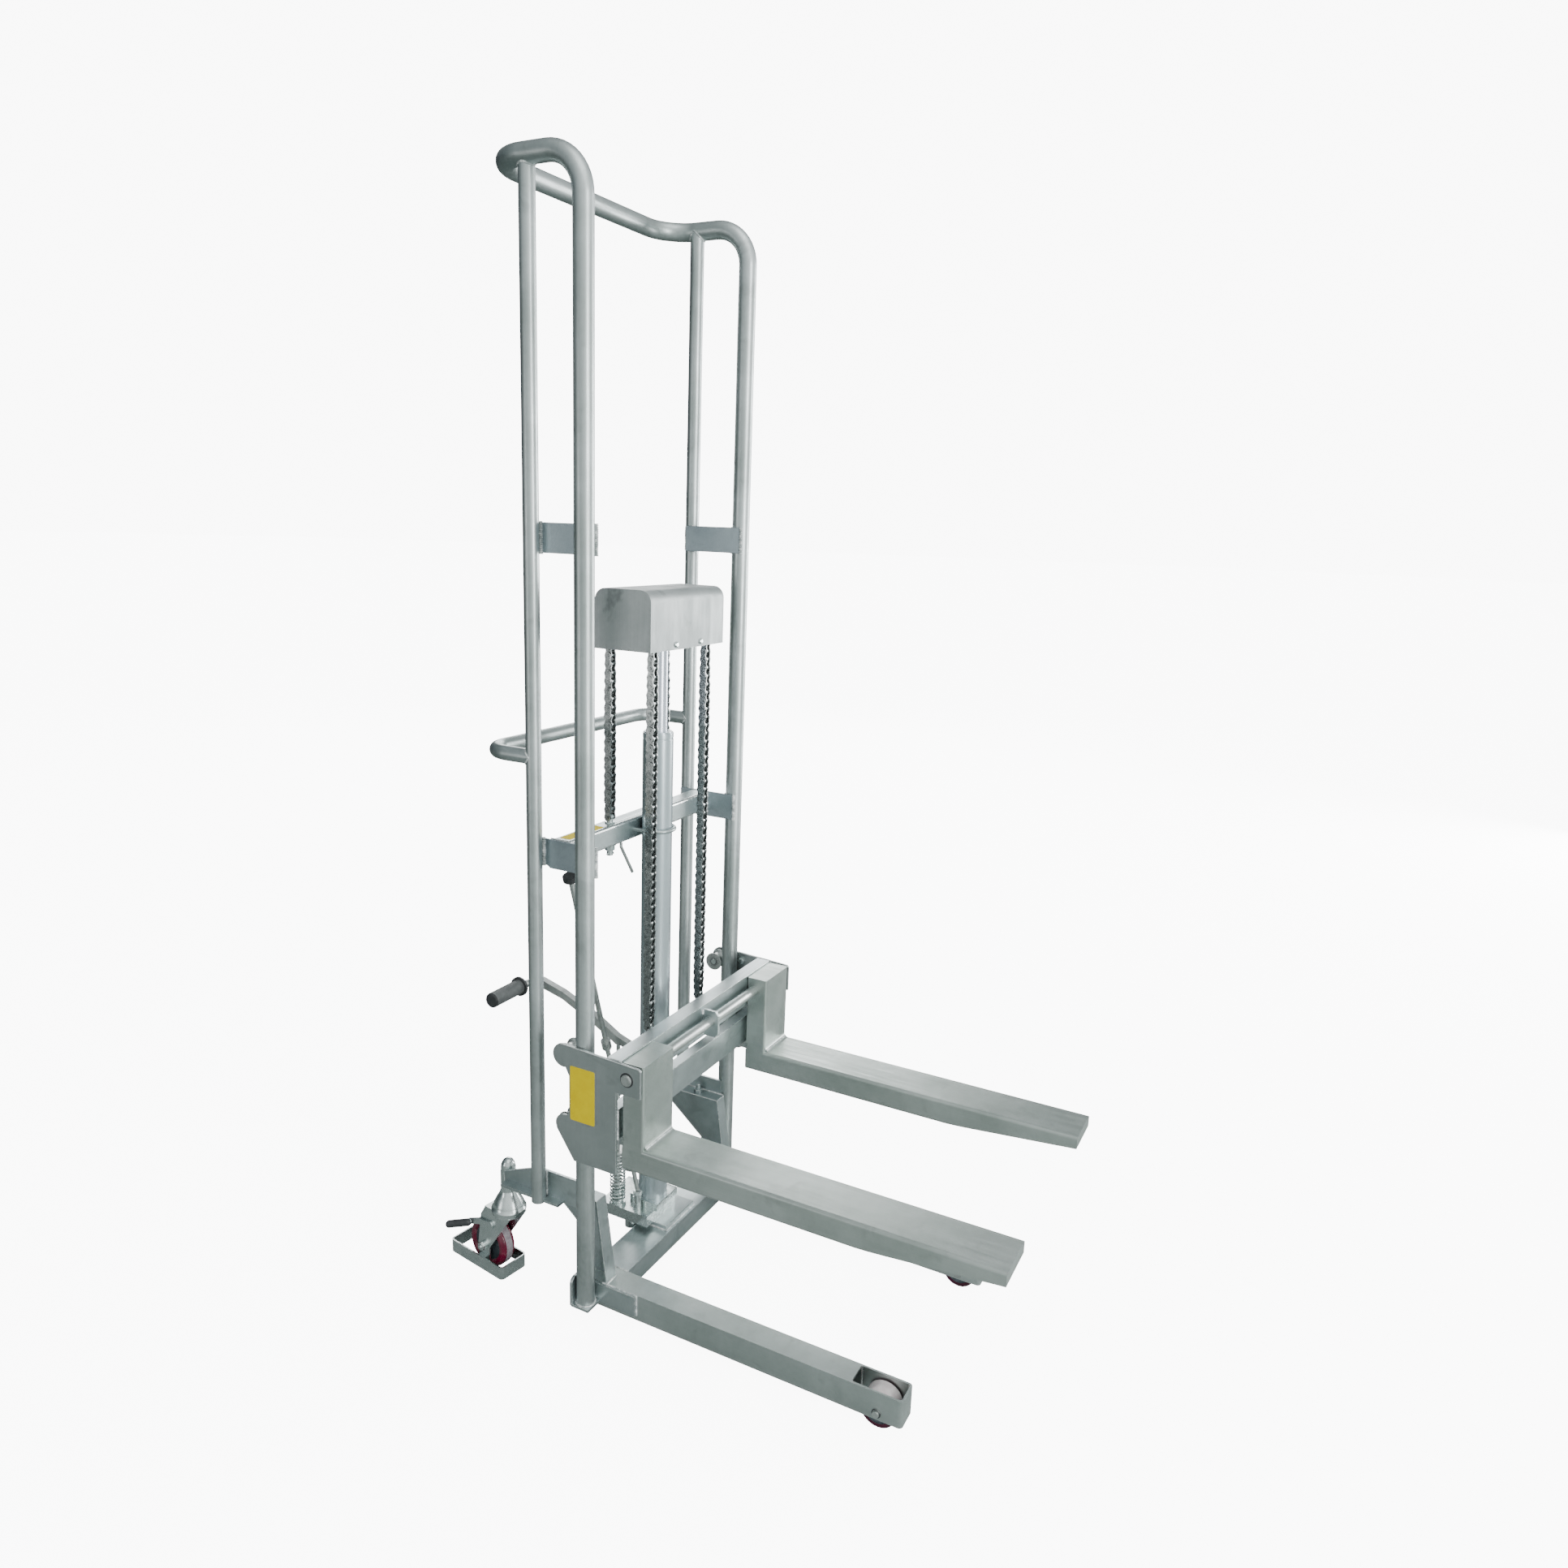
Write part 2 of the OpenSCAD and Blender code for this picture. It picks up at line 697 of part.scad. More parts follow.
// An eye for the chain's last pin, a bolt down through the crossbar, its nut and washer.
module anchor_bolts() {
    color("gainsboro") at_mast() both_sides() translate([chain_x, back_y, 0]) difference() {
        union() {
            translate([0, 0, bar_z0 - 22]) cylinder(d = pin_d, h = rear_low - bar_z0 + 22);
            translate([0, 0, rear_low]) bar_x(pin_d + 1, 0.4 - link_in / 2, link_in / 2 - 0.4);
            translate([0, 0, bar_top]) cylinder(d = 19, h = rear_low - bar_top - 9, $fn = 6);
            translate([0, 0, bar_z0 - 12]) cylinder(d = 19, h = 10, $fn = 6);
            translate([0, 0, bar_z0 - 2]) cylinder(d = 24, h = 2);
        }
        translate([0, 0, rear_low]) bar_x(link_roll_d + 0.3, -pin_d, pin_d);
    }
}

module piston_rod() {
    color("lightskyblue") at_mast() translate([0, lift_y, ram_z0]) {
        cylinder(d = ram_d, h = yoke_z0 - ram_z0);
        cylinder(d = cyl_in - 2 * fit, h = 24);
    }
}

// The plate on the rod, the block that carries the axle and the sleeves beside it.
module head_yoke() {
    color("silver") at_mast() translate([0, lift_y, 0]) difference() {
        union() {
            translate([-60, cover_y - lift_y - cover_half_y + cover_t + weld, yoke_z0])
                cube([120, 2 * (cover_half_y - cover_t - weld), yoke_t]);
            translate([-32, -26, yoke_z0]) cube([64, 52, head_z - yoke_z0]);
            translate([0, 0, head_z]) bar_x(52, -32, 32);
            translate([0, 0, head_z]) bar_x(axle_d + 10, clear - hub_in, hub_in - clear);
        }
        translate([0, 0, head_z]) bar_x(axle_d + 2 * weld, -hub_in, hub_in);
    }
}

module cover_outline(grow) {
    r = cover_r + grow;
    w = 2 * (cover_half_y + grow);
    translate([cover_y - w / 2, cover_top - cover_h - 10]) square([w, cover_h + 10 + grow - r]);
    translate([cover_y - w / 2 + r, cover_top - cover_r]) square([w - 2 * r, cover_r + grow]);
    for (s = [-1, 1]) translate([cover_y + s * (w / 2 - r), cover_top - cover_r]) circle(r = r);
}

// Folded sheet over both chain wheels, with an end plate on each side and no floor.
module head_cover() {
    color("whitesmoke") at_mast() difference() {
        plate_x(-cover_half, cover_half) cover_outline(0);
        plate_x(cover_t - cover_half, cover_half - cover_t) cover_outline(-cover_t);
        translate([-200, -200, cover_top - cover_h - 20]) cube([400, 400, 20]);
    }
}

module head_axle() {
    color("gainsboro") at_mast() translate([0, lift_y, head_z])
        bar_x(axle_d, cover_t + weld - cover_half, cover_half - cover_t - weld);
}

// A wheel with a groove that the chain's plates lie in, its wide hub bored for the axle.
module chain_wheel() {
    seat = chain_r - link_h / 2 - clear;
    half = chain_w / 2 + 1;
    translate([chain_x, lift_y, head_z]) rotate([0, 90, 0]) rotate_extrude() difference() {
        union() {
            translate([0, -half]) square([seat, 2 * half]);
            translate([0, -half - 2]) square([seat + 4, 2]);
            translate([0, half]) square([seat + 4, 2]);
        }
        translate([0, -half - 3]) square([axle_d / 2 + fit, 2 * half + 6]);
    }
}

module chain_wheel_left() {
    color("gray") at_mast() mirror([1, 0, 0]) chain_wheel();
}

module chain_wheel_right() {
    color("gray") at_mast() chain_wheel();
}

// The plunger in the barrel, the collar on the spring and the long push rod up to the pedal.
module pump_plunger() {
    color("gainsboro") at_mast() translate([-pump_x, pump_y, 0]) {
        translate([0, 0, barrel_top - 6]) cylinder(d = plunger_d, h = spring_top - barrel_top + 6);
        translate([0, 0, spring_top + clear]) cylinder(d = coil_d + wire_d + 2, h = 5);
        translate([0, 0, spring_top - 4]) cylinder(d = push_d, h = push_top - clear - spring_top + 4);
        translate([0, 0, spring_top - 1]) cylinder(d = plunger_d, h = 4);
    }
}

// The return spring: one wire wound at a steady pitch.
spring_rise = (spring_top - spring_z0 - wire_d - 2 * clear) / coil_turns;
function coil_at(i, n) = let (a = 360 * i / n)
    [coil_d / 2 * cos(a), coil_d / 2 * sin(a), spring_rise * i / n];
coil_rings = coil_rounds * coil_turns;
coil_sides = 6;
coil_points = [for (i = [0 : coil_rings]) let (a = 360 * i / coil_rounds, p = coil_at(i, coil_rounds))
    for (j = [0 : coil_sides - 1]) let (b = 360 * j / coil_sides)
    p + wire_d / 2 * [cos(b) * cos(a), cos(b) * sin(a), sin(b)]];
coil_faces = concat(
    [for (i = [0 : coil_rings - 1], j = [0 : coil_sides - 1]) let (k = (j + 1) % coil_sides)
        [i * coil_sides + j, i * coil_sides + k, (i + 1) * coil_sides + j]],
    [for (i = [0 : coil_rings - 1], j = [0 : coil_sides - 1]) let (k = (j + 1) % coil_sides)
        [i * coil_sides + k, (i + 1) * coil_sides + k, (i + 1) * coil_sides + j]],
    [for (j = [1 : coil_sides - 2]) [0, j + 1, j]],
    [for (j = [1 : coil_sides - 2])
        [coil_rings * coil_sides, coil_rings * coil_sides + j, coil_rings * coil_sides + j + 1]]);
coil_gap = min([for (j = [0 : coil_rounds - 1])
    norm(coil_at(coil_rounds + j, coil_rounds) - coil_at(j, coil_rounds))]) - wire_d;

module pump_spring() {
    echo("least gap between the spring's turns", coil_gap);
    color("silver") at_mast() translate([-pump_x, pump_y, spring_z0 + wire_d / 2 + clear])
        polyhedron(coil_points, coil_faces);
}

// The arm from its pin back and up to the grip, with the pad that meets the push rod.
module pedal_arm() {
    y0 = lift_y + 6;
    knee = [290, 542];
    color("silver") at_mast() {
        difference() {
            union() {
                plate_x(-pump_x - pedal_t / 2, pedal_t / 2 - pump_x) {
                    polygon([[y0, pedal_z - 11], [y0, pedal_z + 11], [pump_y, pedal_z + 8 + pad_r + 10],
                        [124, 505], [206, 539], [262, 554], [268, 538], [206, 523], [128, 487],
                        [pump_y + 4, pedal_z + 8 + pad_r - 6], [pump_y - 8, pedal_z + 8 + pad_r - 6]]);
                    translate([y0, pedal_z]) circle(r = 11);
                    translate([pump_y, pedal_z + 8 + pad_r]) circle(r = pad_r);
                }
            }
            translate([0, y0, pedal_z]) bar_x(pin_d + 2 * fit, -2 * pump_x, 0);
        }
        ball_bar(15, [-pump_x, 262, 546], [-pump_x - 10, 279, 544]);
        ball_bar(15, [-pump_x - 10, 279, 544], [-pump_x - 27, knee[0], knee[1]]);
        ball_bar(15, [-pump_x - 27, knee[0], knee[1]], [-pump_x - 23 - grip_l, knee[0], knee[1]]);
    }
}

module pedal_grip() {
    x1 = -pump_x - 35;
    color("dimgray") at_mast() translate([x1, 290, 542]) rotate([0, -90, 0]) rotate_extrude() difference() {
        union() {
            square([grip_d / 2 + 5, 5]);
            square([grip_d / 2, grip_l - 4]);
            square([grip_d / 2 - 3, grip_l]);
            translate([grip_d / 2 - 4, grip_l - 4]) circle(r = 4);
        }
        translate([0, -1]) square([7.5 + weld, grip_l - 1]);
    }
}

// The rod from the knob down to the collar, and the spindle from there to the valve.
rel_top = [-218, 62, 851];
rel_joint = [-84, 76, 456];
rel_foot = [-49, 26, block_top + 42];
rel_way = (rel_top - rel_joint) / norm(rel_top - rel_joint);

module release_rod() {
    color("gainsboro") at_mast() {
        bar_between(rel_d, rel_joint + 8 * rel_way, rel_top);
        bar_between(19, rel_joint + 6 * rel_way, rel_joint + 26 * rel_way);
        bar_between(28, rel_top - 11 * rel_way, rel_top);
        bar_between(7, rel_joint + 16 * rel_way, rel_joint + 16 * rel_way + [-14, -11, 0]);
    }
}

module release_spindle() {
    spindle = (rel_foot - rel_joint) / norm(rel_foot - rel_joint);
    color("gainsboro") at_mast() {
        translate(rel_joint) sphere(d = rel_d + 1);
        bar_between(rel_d - 1, rel_joint, rel_foot - 1.2 * spindle);
    }
}

// Both side plates: round lobes carry the rear rollers, a tab in front covers the fork shaft.
module side_outline() {
    polygon([[-side_front, side_low], [8, side_low], [46, 394], [48, 405], [roller_y, 412],
        [18, 434], [18, 503], [roller_y, roller_up - 12], [roller_y, roller_up + lobe_r],
        [4 - bar_front - shank_d, side_top],
        [-bar_front - shank_d, side_top - 4], [-bar_front - shank_d, tab_low], [-side_front, tab_low]]);
    translate([roller_y, roller_up]) circle(r = lobe_r);
    translate([roller_y - 3, roller_low]) circle(r = 20);
}

module side_plates() {
    color("lightgray") at_mast() both_sides() difference() {
        plate_x(side_in, side_out) side_outline();
        translate([0, -shaft_y, shaft_z]) bar_x(shaft_d + 2 * weld, side_in - 1, side_out + 1);
    }
}

module carriage_top_bar() {
    color("gainsboro") at_mast() {
        translate([-side_in + weld, -bar_front, web_low])
            cube([2 * (side_in - weld), bar_t, side_top + 3 - web_low]);
        translate([-side_in + weld, -bar_front, side_top - 2])
            cube([2 * (side_in - weld), flange_d, bar_t]);
    }
}

module carriage_lower_bar() {
    z0 = low_bar_z - low_bar_h / 2;
    color("gainsboro") at_mast() {
        translate([-side_in + weld, -low_front, z0]) cube([2 * (side_in - weld), bar_t, low_bar_h]);
        translate([-side_in + weld, -low_front, z0 + low_bar_h - bar_t])
            cube([2 * (side_in - weld), 22, bar_t]);
    }
}

// The plate in the middle that holds the fork shaft.
module shaft_bracket() {
    color("silver") at_mast() difference() {
        plate_x(-3, 3) polygon([[-bar_front - weld, tab_low], [-bar_front - weld, side_top - 3],
            [-shaft_y - 12, side_top - 3], [-shaft_y - 19, side_top - 11],
            [-shaft_y - 19, tab_low + 7], [-shaft_y - 12, tab_low]]);
        translate([0, -shaft_y, shaft_z]) bar_x(shaft_d + 2 * weld, -4, 4);
    }
}

module fork_shaft() {
    color("gainsboro") at_mast() translate([0, -shaft_y, shaft_z]) {
        bar_x(shaft_d, -side_out - 2, side_out + 2);
        both_sides() bar_x(shaft_d - 3, side_out + 1, side_out + 4);
    }
}

// Where each front chain ends: an eye on a bolt, held by a shelf behind the upper bar.
module chain_anchors() {
    shelf = front_low - 30;
    color("silver") at_mast() both_sides() {
        difference() {
            union() {
                translate([chain_x - 20, weld + bar_t - bar_front, shelf - 8])
                    cube([40, bar_front - bar_t + 12 + front_y, 8]);
                translate([chain_x - 20, weld + bar_t - bar_front, shelf - 8]) cube([40, 6, 40]);
            }
            translate([chain_x, front_y, shelf - 9]) cylinder(d = pin_d, h = 10);
        }
        translate([chain_x, front_y, 0]) difference() {
            union() {
                translate([0, 0, shelf - 26])
                    cylinder(d = pin_d, h = front_low - link_h / 2 - 0.5 - shelf + 26);
                translate([0.4 - link_in / 2, -pin_d / 2, front_low - link_h / 2 - 2])
                    cube([link_in - 0.8, pin_d, link_h / 2 + 2]);
                translate([0, 0, front_low]) bar_x(pin_d + 1, 0.4 - link_in / 2, link_in / 2 - 0.4);
                translate([0, 0, shelf - 18]) cylinder(d = 19, h = 10, $fn = 6);
                translate([0, 0, shelf]) cylinder(d = 19, h = 8, $fn = 6);
            }
            translate([0, 0, front_low]) bar_x(link_roll_d + 0.3, -pin_d, pin_d);
        }
    }
}

module roller_pins() {
    color("gainsboro") at_mast() both_sides()
        for (p = [[roller_y, roller_up], [roller_y, roller_low], [-roller_y, roller_front]])
            translate([0, p[0], p[1]]) {
                bar_x(pin_d, mast_half - roller_w / 2 - 1, side_in - weld);
                bar_x(pin_d + 6, mast_half + roller_w / 2 + clear, side_in - weld);
            }
}

// A spool whose groove runs on the round upright.
module mast_roller(y, z) {
    translate([mast_half, y, z]) rotate([0, 90, 0]) rotate_extrude() difference() {
        translate([pin_d / 2 + fit, -roller_w / 2]) square([roller_d / 2 - pin_d / 2 - fit, roller_w]);
        translate([roller_y, 0]) circle(r = groove_r);
    }
}

module roller_upper_left() {
    color("dimgray") at_mast() mirror([1, 0, 0]) mast_roller(roller_y, roller_up);
}

module roller_upper_right() {
    color("dimgray") at_mast() mast_roller(roller_y, roller_up);
}

module roller_lower_left() {
    color("dimgray") at_mast() mirror([1, 0, 0]) mast_roller(roller_y, roller_low);
}

module roller_lower_right() {
    color("dimgray") at_mast() mast_roller(roller_y, roller_low);
}

module roller_front_left() {
    color("dimgray") at_mast() mirror([1, 0, 0]) mast_roller(-roller_y, roller_front);
}

module roller_front_right() {
    color("dimgray") at_mast() mast_roller(-roller_y, roller_front);
}

// A shank bored for the shaft, a blade that tapers at the tip, and the weld in the inner corner.
module fork() {
    front = -fork_back - shank_d;
    blade_z0 = blade_top - blade_h;
    difference() {
        union() {
            translate([fork_in, front, blade_z0 + fork_r]) linear_extrude(side_top - blade_z0 - fork_r)
                round_rect(fork_w, shank_d, 4);
            plate_y(-fork_reach, -fork_back) translate([fork_in, blade_z0])
                round_rect(fork_w, blade_h, fork_r);
            plate_x(fork_in + 5, fork_out - 5) difference() {
                translate([front - 11, blade_top - 1]) square([12, 12]);
                translate([front - 11, blade_top + 11]) circle(r = 11);
            }
            translate([fork_in + 14, -fork_back - 1, low_bar_z - 22])
                cube([fork_w - 28, 1 + fork_back - low_front - clear, 44]);
        }
        plate_x(fork_in - 1, fork_out + 1) polygon([[taper_l - fork_reach, blade_z0 - 1],
            [taper_l - fork_reach, blade_z0], [-fork_reach - 1, blade_top - tip_h],
            [-fork_reach - 1, blade_z0 - 1]]);
        translate([0, -shaft_y, shaft_z]) bar_x(shaft_d + 2 * fit, fork_in - 1, fork_out + 1);
    }
}

module fork_right() {
    color("silver") at_mast() fork();
}

module fork_left() {
    color("silver") at_mast() mirror([1, 0, 0]) fork();
}

// A load roller: a tread with rounded shoulders and a recess on each face.
module load_roller() {
    r = load_d / 2;
    w = load_w / 2;
    translate([leg_x, load_y, load_z]) rotate([0, 90, 0]) rotate_extrude() polygon([
        [load_axle_d / 2 + fit, -w], [load_axle_d / 2 + 5, -w], [load_axle_d / 2 + 5, 3 - w],
        [r - 9, 3 - w], [r - 9, 0.5 - w], [r - 3, 0.5 - w], [r, 3 - w], [r, w - 3], [r - 3, w - 0.5],
        [r - 9, w - 0.5], [r - 9, w - 3], [load_axle_d / 2 + 5, w - 3], [load_axle_d / 2 + 5, w],
        [load_axle_d / 2 + fit, w]]);
}

module load_roller_right() {
    color("firebrick") at_mast() load_roller();
}

module load_roller_left() {
    color("firebrick") at_mast() mirror([1, 0, 0]) load_roller();
}

// A caster is drawn trailing along +Y from its swivel axis and then turned to its rest position.
module at_caster() {
    translate([-caster_x, caster_y, 0]) rotate(trail_turn - 90) children();
}

fork_leg_x = caster_w / 2 + 2.5;
leg_plate = 3.5;

module caster_fork() {
    outer = fork_leg_x + leg_plate;
    at_caster() {
        translate([0, 0, race_z - clear - 6]) cylinder(d = race_d - 4, h = 6);
        translate([-outer, 0, race_z - clear - 6]) cube([2 * outer, race_d / 2 + 12, 4]);
        both_sides() difference() {
            plate_x(fork_leg_x, outer) {
                polygon([[-26, race_z - 5], [race_d / 2 + 12, race_z - 5], [race_d / 2 + 24, race_z - 24],
                    [trail + 17, caster_d / 2], [trail + 15, 22], [trail - 15, 22], [trail - 17, caster_d / 2]]);
                translate([trail, caster_d / 2]) circle(r = 17);
            }
            translate([0, trail, caster_d / 2]) bar_x(10, fork_leg_x - 1, outer + 1);
        }
        translate([0, trail, caster_d / 2]) {
            bar_x(10, -outer, outer);
            both_sides() bar_x(17, outer, outer + 5);
        }
        both_sides() translate([outer - 0.5, trail - 10, 20])
            cube([guard_w / 2 - guard_wall - outer + 1, 20, 10]);
        translate([-guard_w / 2, guard_back - guard_l / 2, 3]) linear_extrude(27) difference() {
            round_rect(guard_w, guard_l, guard_round);
            translate([guard_wall, guard_wall])
                round_rect(guard_w - 2 * guard_wall, guard_l - 2 * guard_wall, guard_round - guard_wall);
        }
    }
}

module caster_fork_left() {
    color("gainsboro") at_mast() caster_fork();
}

module caster_fork_right() {
    color("gainsboro") at_mast() mirror([1, 0, 0]) caster_fork();
}

// Tread with a flat contact band and a hub with a recess on each face.
module caster_wheel() {
    r = caster_d / 2;
    w = caster_w / 2;
    at_caster() translate([0, trail, r]) rotate([0, 90, 0]) rotate_extrude() polygon([
        [5 + fit, -w - 1.5], [12, -w - 1.5], [12, 5 - w], [r - 16, 4 - w], [r - 12, -w], [r - 6, -w],
        [r - 1, 5 - w], [r, 9 - w], [r, w - 9], [r - 1, w - 5], [r - 6, w], [r - 12, w], [r - 16, w - 4],
        [12, w - 5], [12, w + 1.5], [5 + fit, w + 1.5]]);
}

module caster_wheel_left() {
    color("firebrick") at_mast() caster_wheel();
}

module caster_wheel_right() {
    color("firebrick") at_mast() mirror([1, 0, 0]) caster_wheel();
}

// A strap on the fork's outer face that ends in a sleeved toe piece.
module brake_lever() {
    x0 = -fork_leg_x - leg_plate - clear;
    at_caster() {
        plate_x(x0 - 4, x0) {
            polygon([[24, 98], [24, 112], [60, 108], [92, 94], [92, 82], [60, 95]]);
            translate([28, 105]) circle(r = 8);
        }
        ball_bar(15, [x0 - 7, 90, 88], [x0 - 30, 118, 84]);
    }
}

module brake_lever_left() {
    color("dimgray") at_mast() brake_lever();
}

module brake_lever_right() {
    color("dimgray") at_mast() mirror([1, 0, 0]) brake_lever();
}

mast_tube();
rear_uprights();
tie_plates();
anchor_crossbar();
push_handle();
base_crossmember();
leg_left();
leg_right();
foot_brackets();
leg_gussets();
rear_rails();
caster_sockets();
lift_cylinder();
cylinder_strap();
pump_block();
release_valve();
pump_barrel();
return_tube();
pedal_bracket();
load_axles();
anchor_bolts();
piston_rod();
head_yoke();
head_cover();
head_axle();
chain_wraps();
chain_wheel_left();
chain_wheel_right();
pump_plunger();
pump_spring();
pedal_arm();
pedal_grip();
release_rod();
release_spindle();
side_plates();
carriage_top_bar();
carriage_lower_bar();
shaft_bracket();
fork_shaft();
chain_anchors();
roller_pins();
roller_upper_left();
roller_upper_right();
roller_lower_left();
roller_lower_right();
roller_front_left();
roller_front_right();
fork_left();
fork_right();
load_roller_left();
load_roller_right();
caster_fork_left();
caster_fork_right();
caster_wheel_left();
caster_wheel_right();
brake_lever_left();
brake_lever_right();
chain_rear();
chain_front();
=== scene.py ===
# The hand pallet stacker: finishes on its CAD parts, small added pieces, a pale studio, the camera.
import json
import math
import bmesh
import bpy
from mathutils import Matrix, Vector, noise


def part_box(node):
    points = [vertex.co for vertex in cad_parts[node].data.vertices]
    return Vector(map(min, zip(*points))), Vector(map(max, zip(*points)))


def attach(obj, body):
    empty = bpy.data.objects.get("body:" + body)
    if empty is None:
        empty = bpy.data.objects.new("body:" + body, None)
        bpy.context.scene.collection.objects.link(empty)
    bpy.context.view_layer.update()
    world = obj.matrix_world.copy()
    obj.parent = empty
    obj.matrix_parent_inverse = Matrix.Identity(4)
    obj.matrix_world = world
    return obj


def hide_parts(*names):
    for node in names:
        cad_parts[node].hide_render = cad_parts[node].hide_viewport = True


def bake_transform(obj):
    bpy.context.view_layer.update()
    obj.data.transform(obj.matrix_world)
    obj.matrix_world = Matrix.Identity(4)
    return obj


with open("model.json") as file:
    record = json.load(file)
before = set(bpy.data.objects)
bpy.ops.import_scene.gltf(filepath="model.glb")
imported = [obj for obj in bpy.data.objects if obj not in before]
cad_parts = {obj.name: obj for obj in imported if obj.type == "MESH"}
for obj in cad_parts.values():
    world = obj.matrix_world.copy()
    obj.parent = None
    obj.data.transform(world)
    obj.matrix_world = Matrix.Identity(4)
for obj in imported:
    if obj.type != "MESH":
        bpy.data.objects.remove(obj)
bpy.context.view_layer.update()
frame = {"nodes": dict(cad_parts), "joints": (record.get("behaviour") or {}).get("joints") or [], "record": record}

# The mast's own plane, from which all places below are given in millimetres.
rod_behind_mast = 0.022
rod_low, rod_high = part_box("piston_rod")
mast_y = (rod_low.y + rod_high.y) / 2 - rod_behind_mast

# Half the distance between the mast's uprights, and between the two chains.
mast_half = 257
chain_x = 90


def at(x, y, z):
    """A point in metres from millimetres across, behind the mast and above the floor."""
    return Vector((x / 1000, y / 1000 + mast_y, z / 1000))


def joint_axis(name):
    """Where a joint's axis stands and which way it points."""
    joint = next(j for j in frame["joints"] if j["name"] == name)
    return Vector(joint["pos_m"]), Vector(joint["axis"]).normalized()


# Finishes.

class Finish:
    """A procedural finish that reads object coordinates."""

    def __init__(self, name, colour, metallic, roughness, **sockets):
        self.material = bpy.data.materials.new(name)
        self.material.use_nodes = True
        self.tree = self.material.node_tree
        self.shader = self.tree.nodes["Principled BSDF"]
        self.place = self.tree.nodes.new("ShaderNodeTexCoord").outputs["Object"]
        self.shader.inputs["Base Color"].default_value = (*colour, 1)
        self.shader.inputs["Metallic"].default_value = metallic
        self.shader.inputs["Roughness"].default_value = roughness
        for socket, value in sockets.items():
            self.shader.inputs[socket.replace("_", " ")].default_value = value

    def cloud(self, scale, detail=4.0, rough=0.55, shift=0.0, warp=0.0):
        """Noise, with one scale or one for each axis, in waves to the metre."""
        if not isinstance(scale, tuple):
            scale = (scale,) * 3
        mapping = self.tree.nodes.new("ShaderNodeMapping")
        mapping.inputs["Scale"].default_value = scale
        mapping.inputs["Location"].default_value = (shift, shift * 0.7, shift * 1.3)
        pattern = self.tree.nodes.new("ShaderNodeTexNoise")
        pattern.inputs["Scale"].default_value = 1.0
        pattern.inputs["Detail"].default_value = detail
        pattern.inputs["Roughness"].default_value = rough
        pattern.inputs["Distortion"].default_value = warp
        self.tree.links.new(self.place, mapping.inputs["Vector"])
        self.tree.links.new(mapping.outputs["Vector"], pattern.inputs["Vector"])
        return pattern.outputs["Fac"]

    def band(self, value, low, high, out_low=0.0, out_high=1.0):
        """The value spread from one range onto another, with soft ends."""
        ranged = self.tree.nodes.new("ShaderNodeMapRange")
        ranged.interpolation_type = "SMOOTHSTEP"
        for socket, number in (("From Min", low), ("From Max", high), ("To Min", out_low),
                               ("To Max", out_high)):
            ranged.inputs[socket].default_value = number
        self.tree.links.new(value, ranged.inputs["Value"])
        return ranged.outputs["Result"]

    def tones(self, value, stops):
        """Two colours laid along a value, each with its place on it."""
        ramp = self.tree.nodes.new("ShaderNodeValToRGB")
        for element, (place, colour) in zip(ramp.color_ramp.elements, stops):
            element.position = place
            element.color = (*colour, 1)
        self.tree.links.new(value, ramp.inputs["Fac"])
        return ramp.outputs["Color"]

    def over(self, lower, upper, amount):
        """A fixed colour laid over another by an amount."""
        mix = self.tree.nodes.new("ShaderNodeMix")
        mix.data_type = "RGBA"
        self.tree.links.new(amount, mix.inputs["Factor"])
        self.tree.links.new(lower, mix.inputs["A"])
        mix.inputs["B"].default_value = (*upper, 1)
        return mix.outputs["Result"]

    def paint(self, colour):
        """Gives the surface its colour."""
        self.tree.links.new(colour, self.shader.inputs["Base Color"])

    def mottle(self, scale, detail, dark, light, ends=(0.3, 0.7)):
        """Paints two tones that a cloud mixes, between two ends of its range."""
        self.paint(self.tones(self.cloud(scale, detail), zip(ends, (dark, light))))

    def sheen_of(self, value, low, high):
        """Lets the roughness go from low to high with a value."""
        ranged = self.band(value, 0.25, 0.75, low, high)
        self.tree.links.new(ranged, self.shader.inputs["Roughness"])

    def relief(self, *layers):
        """Bumps, each a value with its depth in millimetres."""
        below = None
        for value, depth in layers:
            bump = self.tree.nodes.new("ShaderNodeBump")
            bump.inputs["Strength"].default_value = 1.0
            bump.inputs["Distance"].default_value = depth / 1000
            self.tree.links.new(value, bump.inputs["Height"])
            if below is not None:
                self.tree.links.new(below, bump.inputs["Normal"])
            below = bump.outputs["Normal"]
        self.tree.links.new(below, self.shader.inputs["Normal"])


def steel(name, light, dark, grain, stains, rough, stain_scale=22.0):
    """Pickled stainless steel: soft mottling, faint stains and a grain along one direction."""
    made = Finish(name, light, 1.0, 0.38)
    mottling = made.tones(made.cloud(7, 5, 0.6), [(0.34, dark), (0.66, light)])
    spots = made.band(made.cloud(stain_scale, 3, 0.5, 4.0, 0.6), 0.56, 0.74, 0.0, stains)
    stain_share = 0.62
    made.paint(made.over(mottling, tuple(c * stain_share for c in dark), spots))
    streaks = made.cloud(grain, 3, 0.6)
    made.sheen_of(streaks, *rough)
    made.relief((streaks, 0.035), (made.cloud(60, 2, 0.5, 9.0), 0.06))
    return made


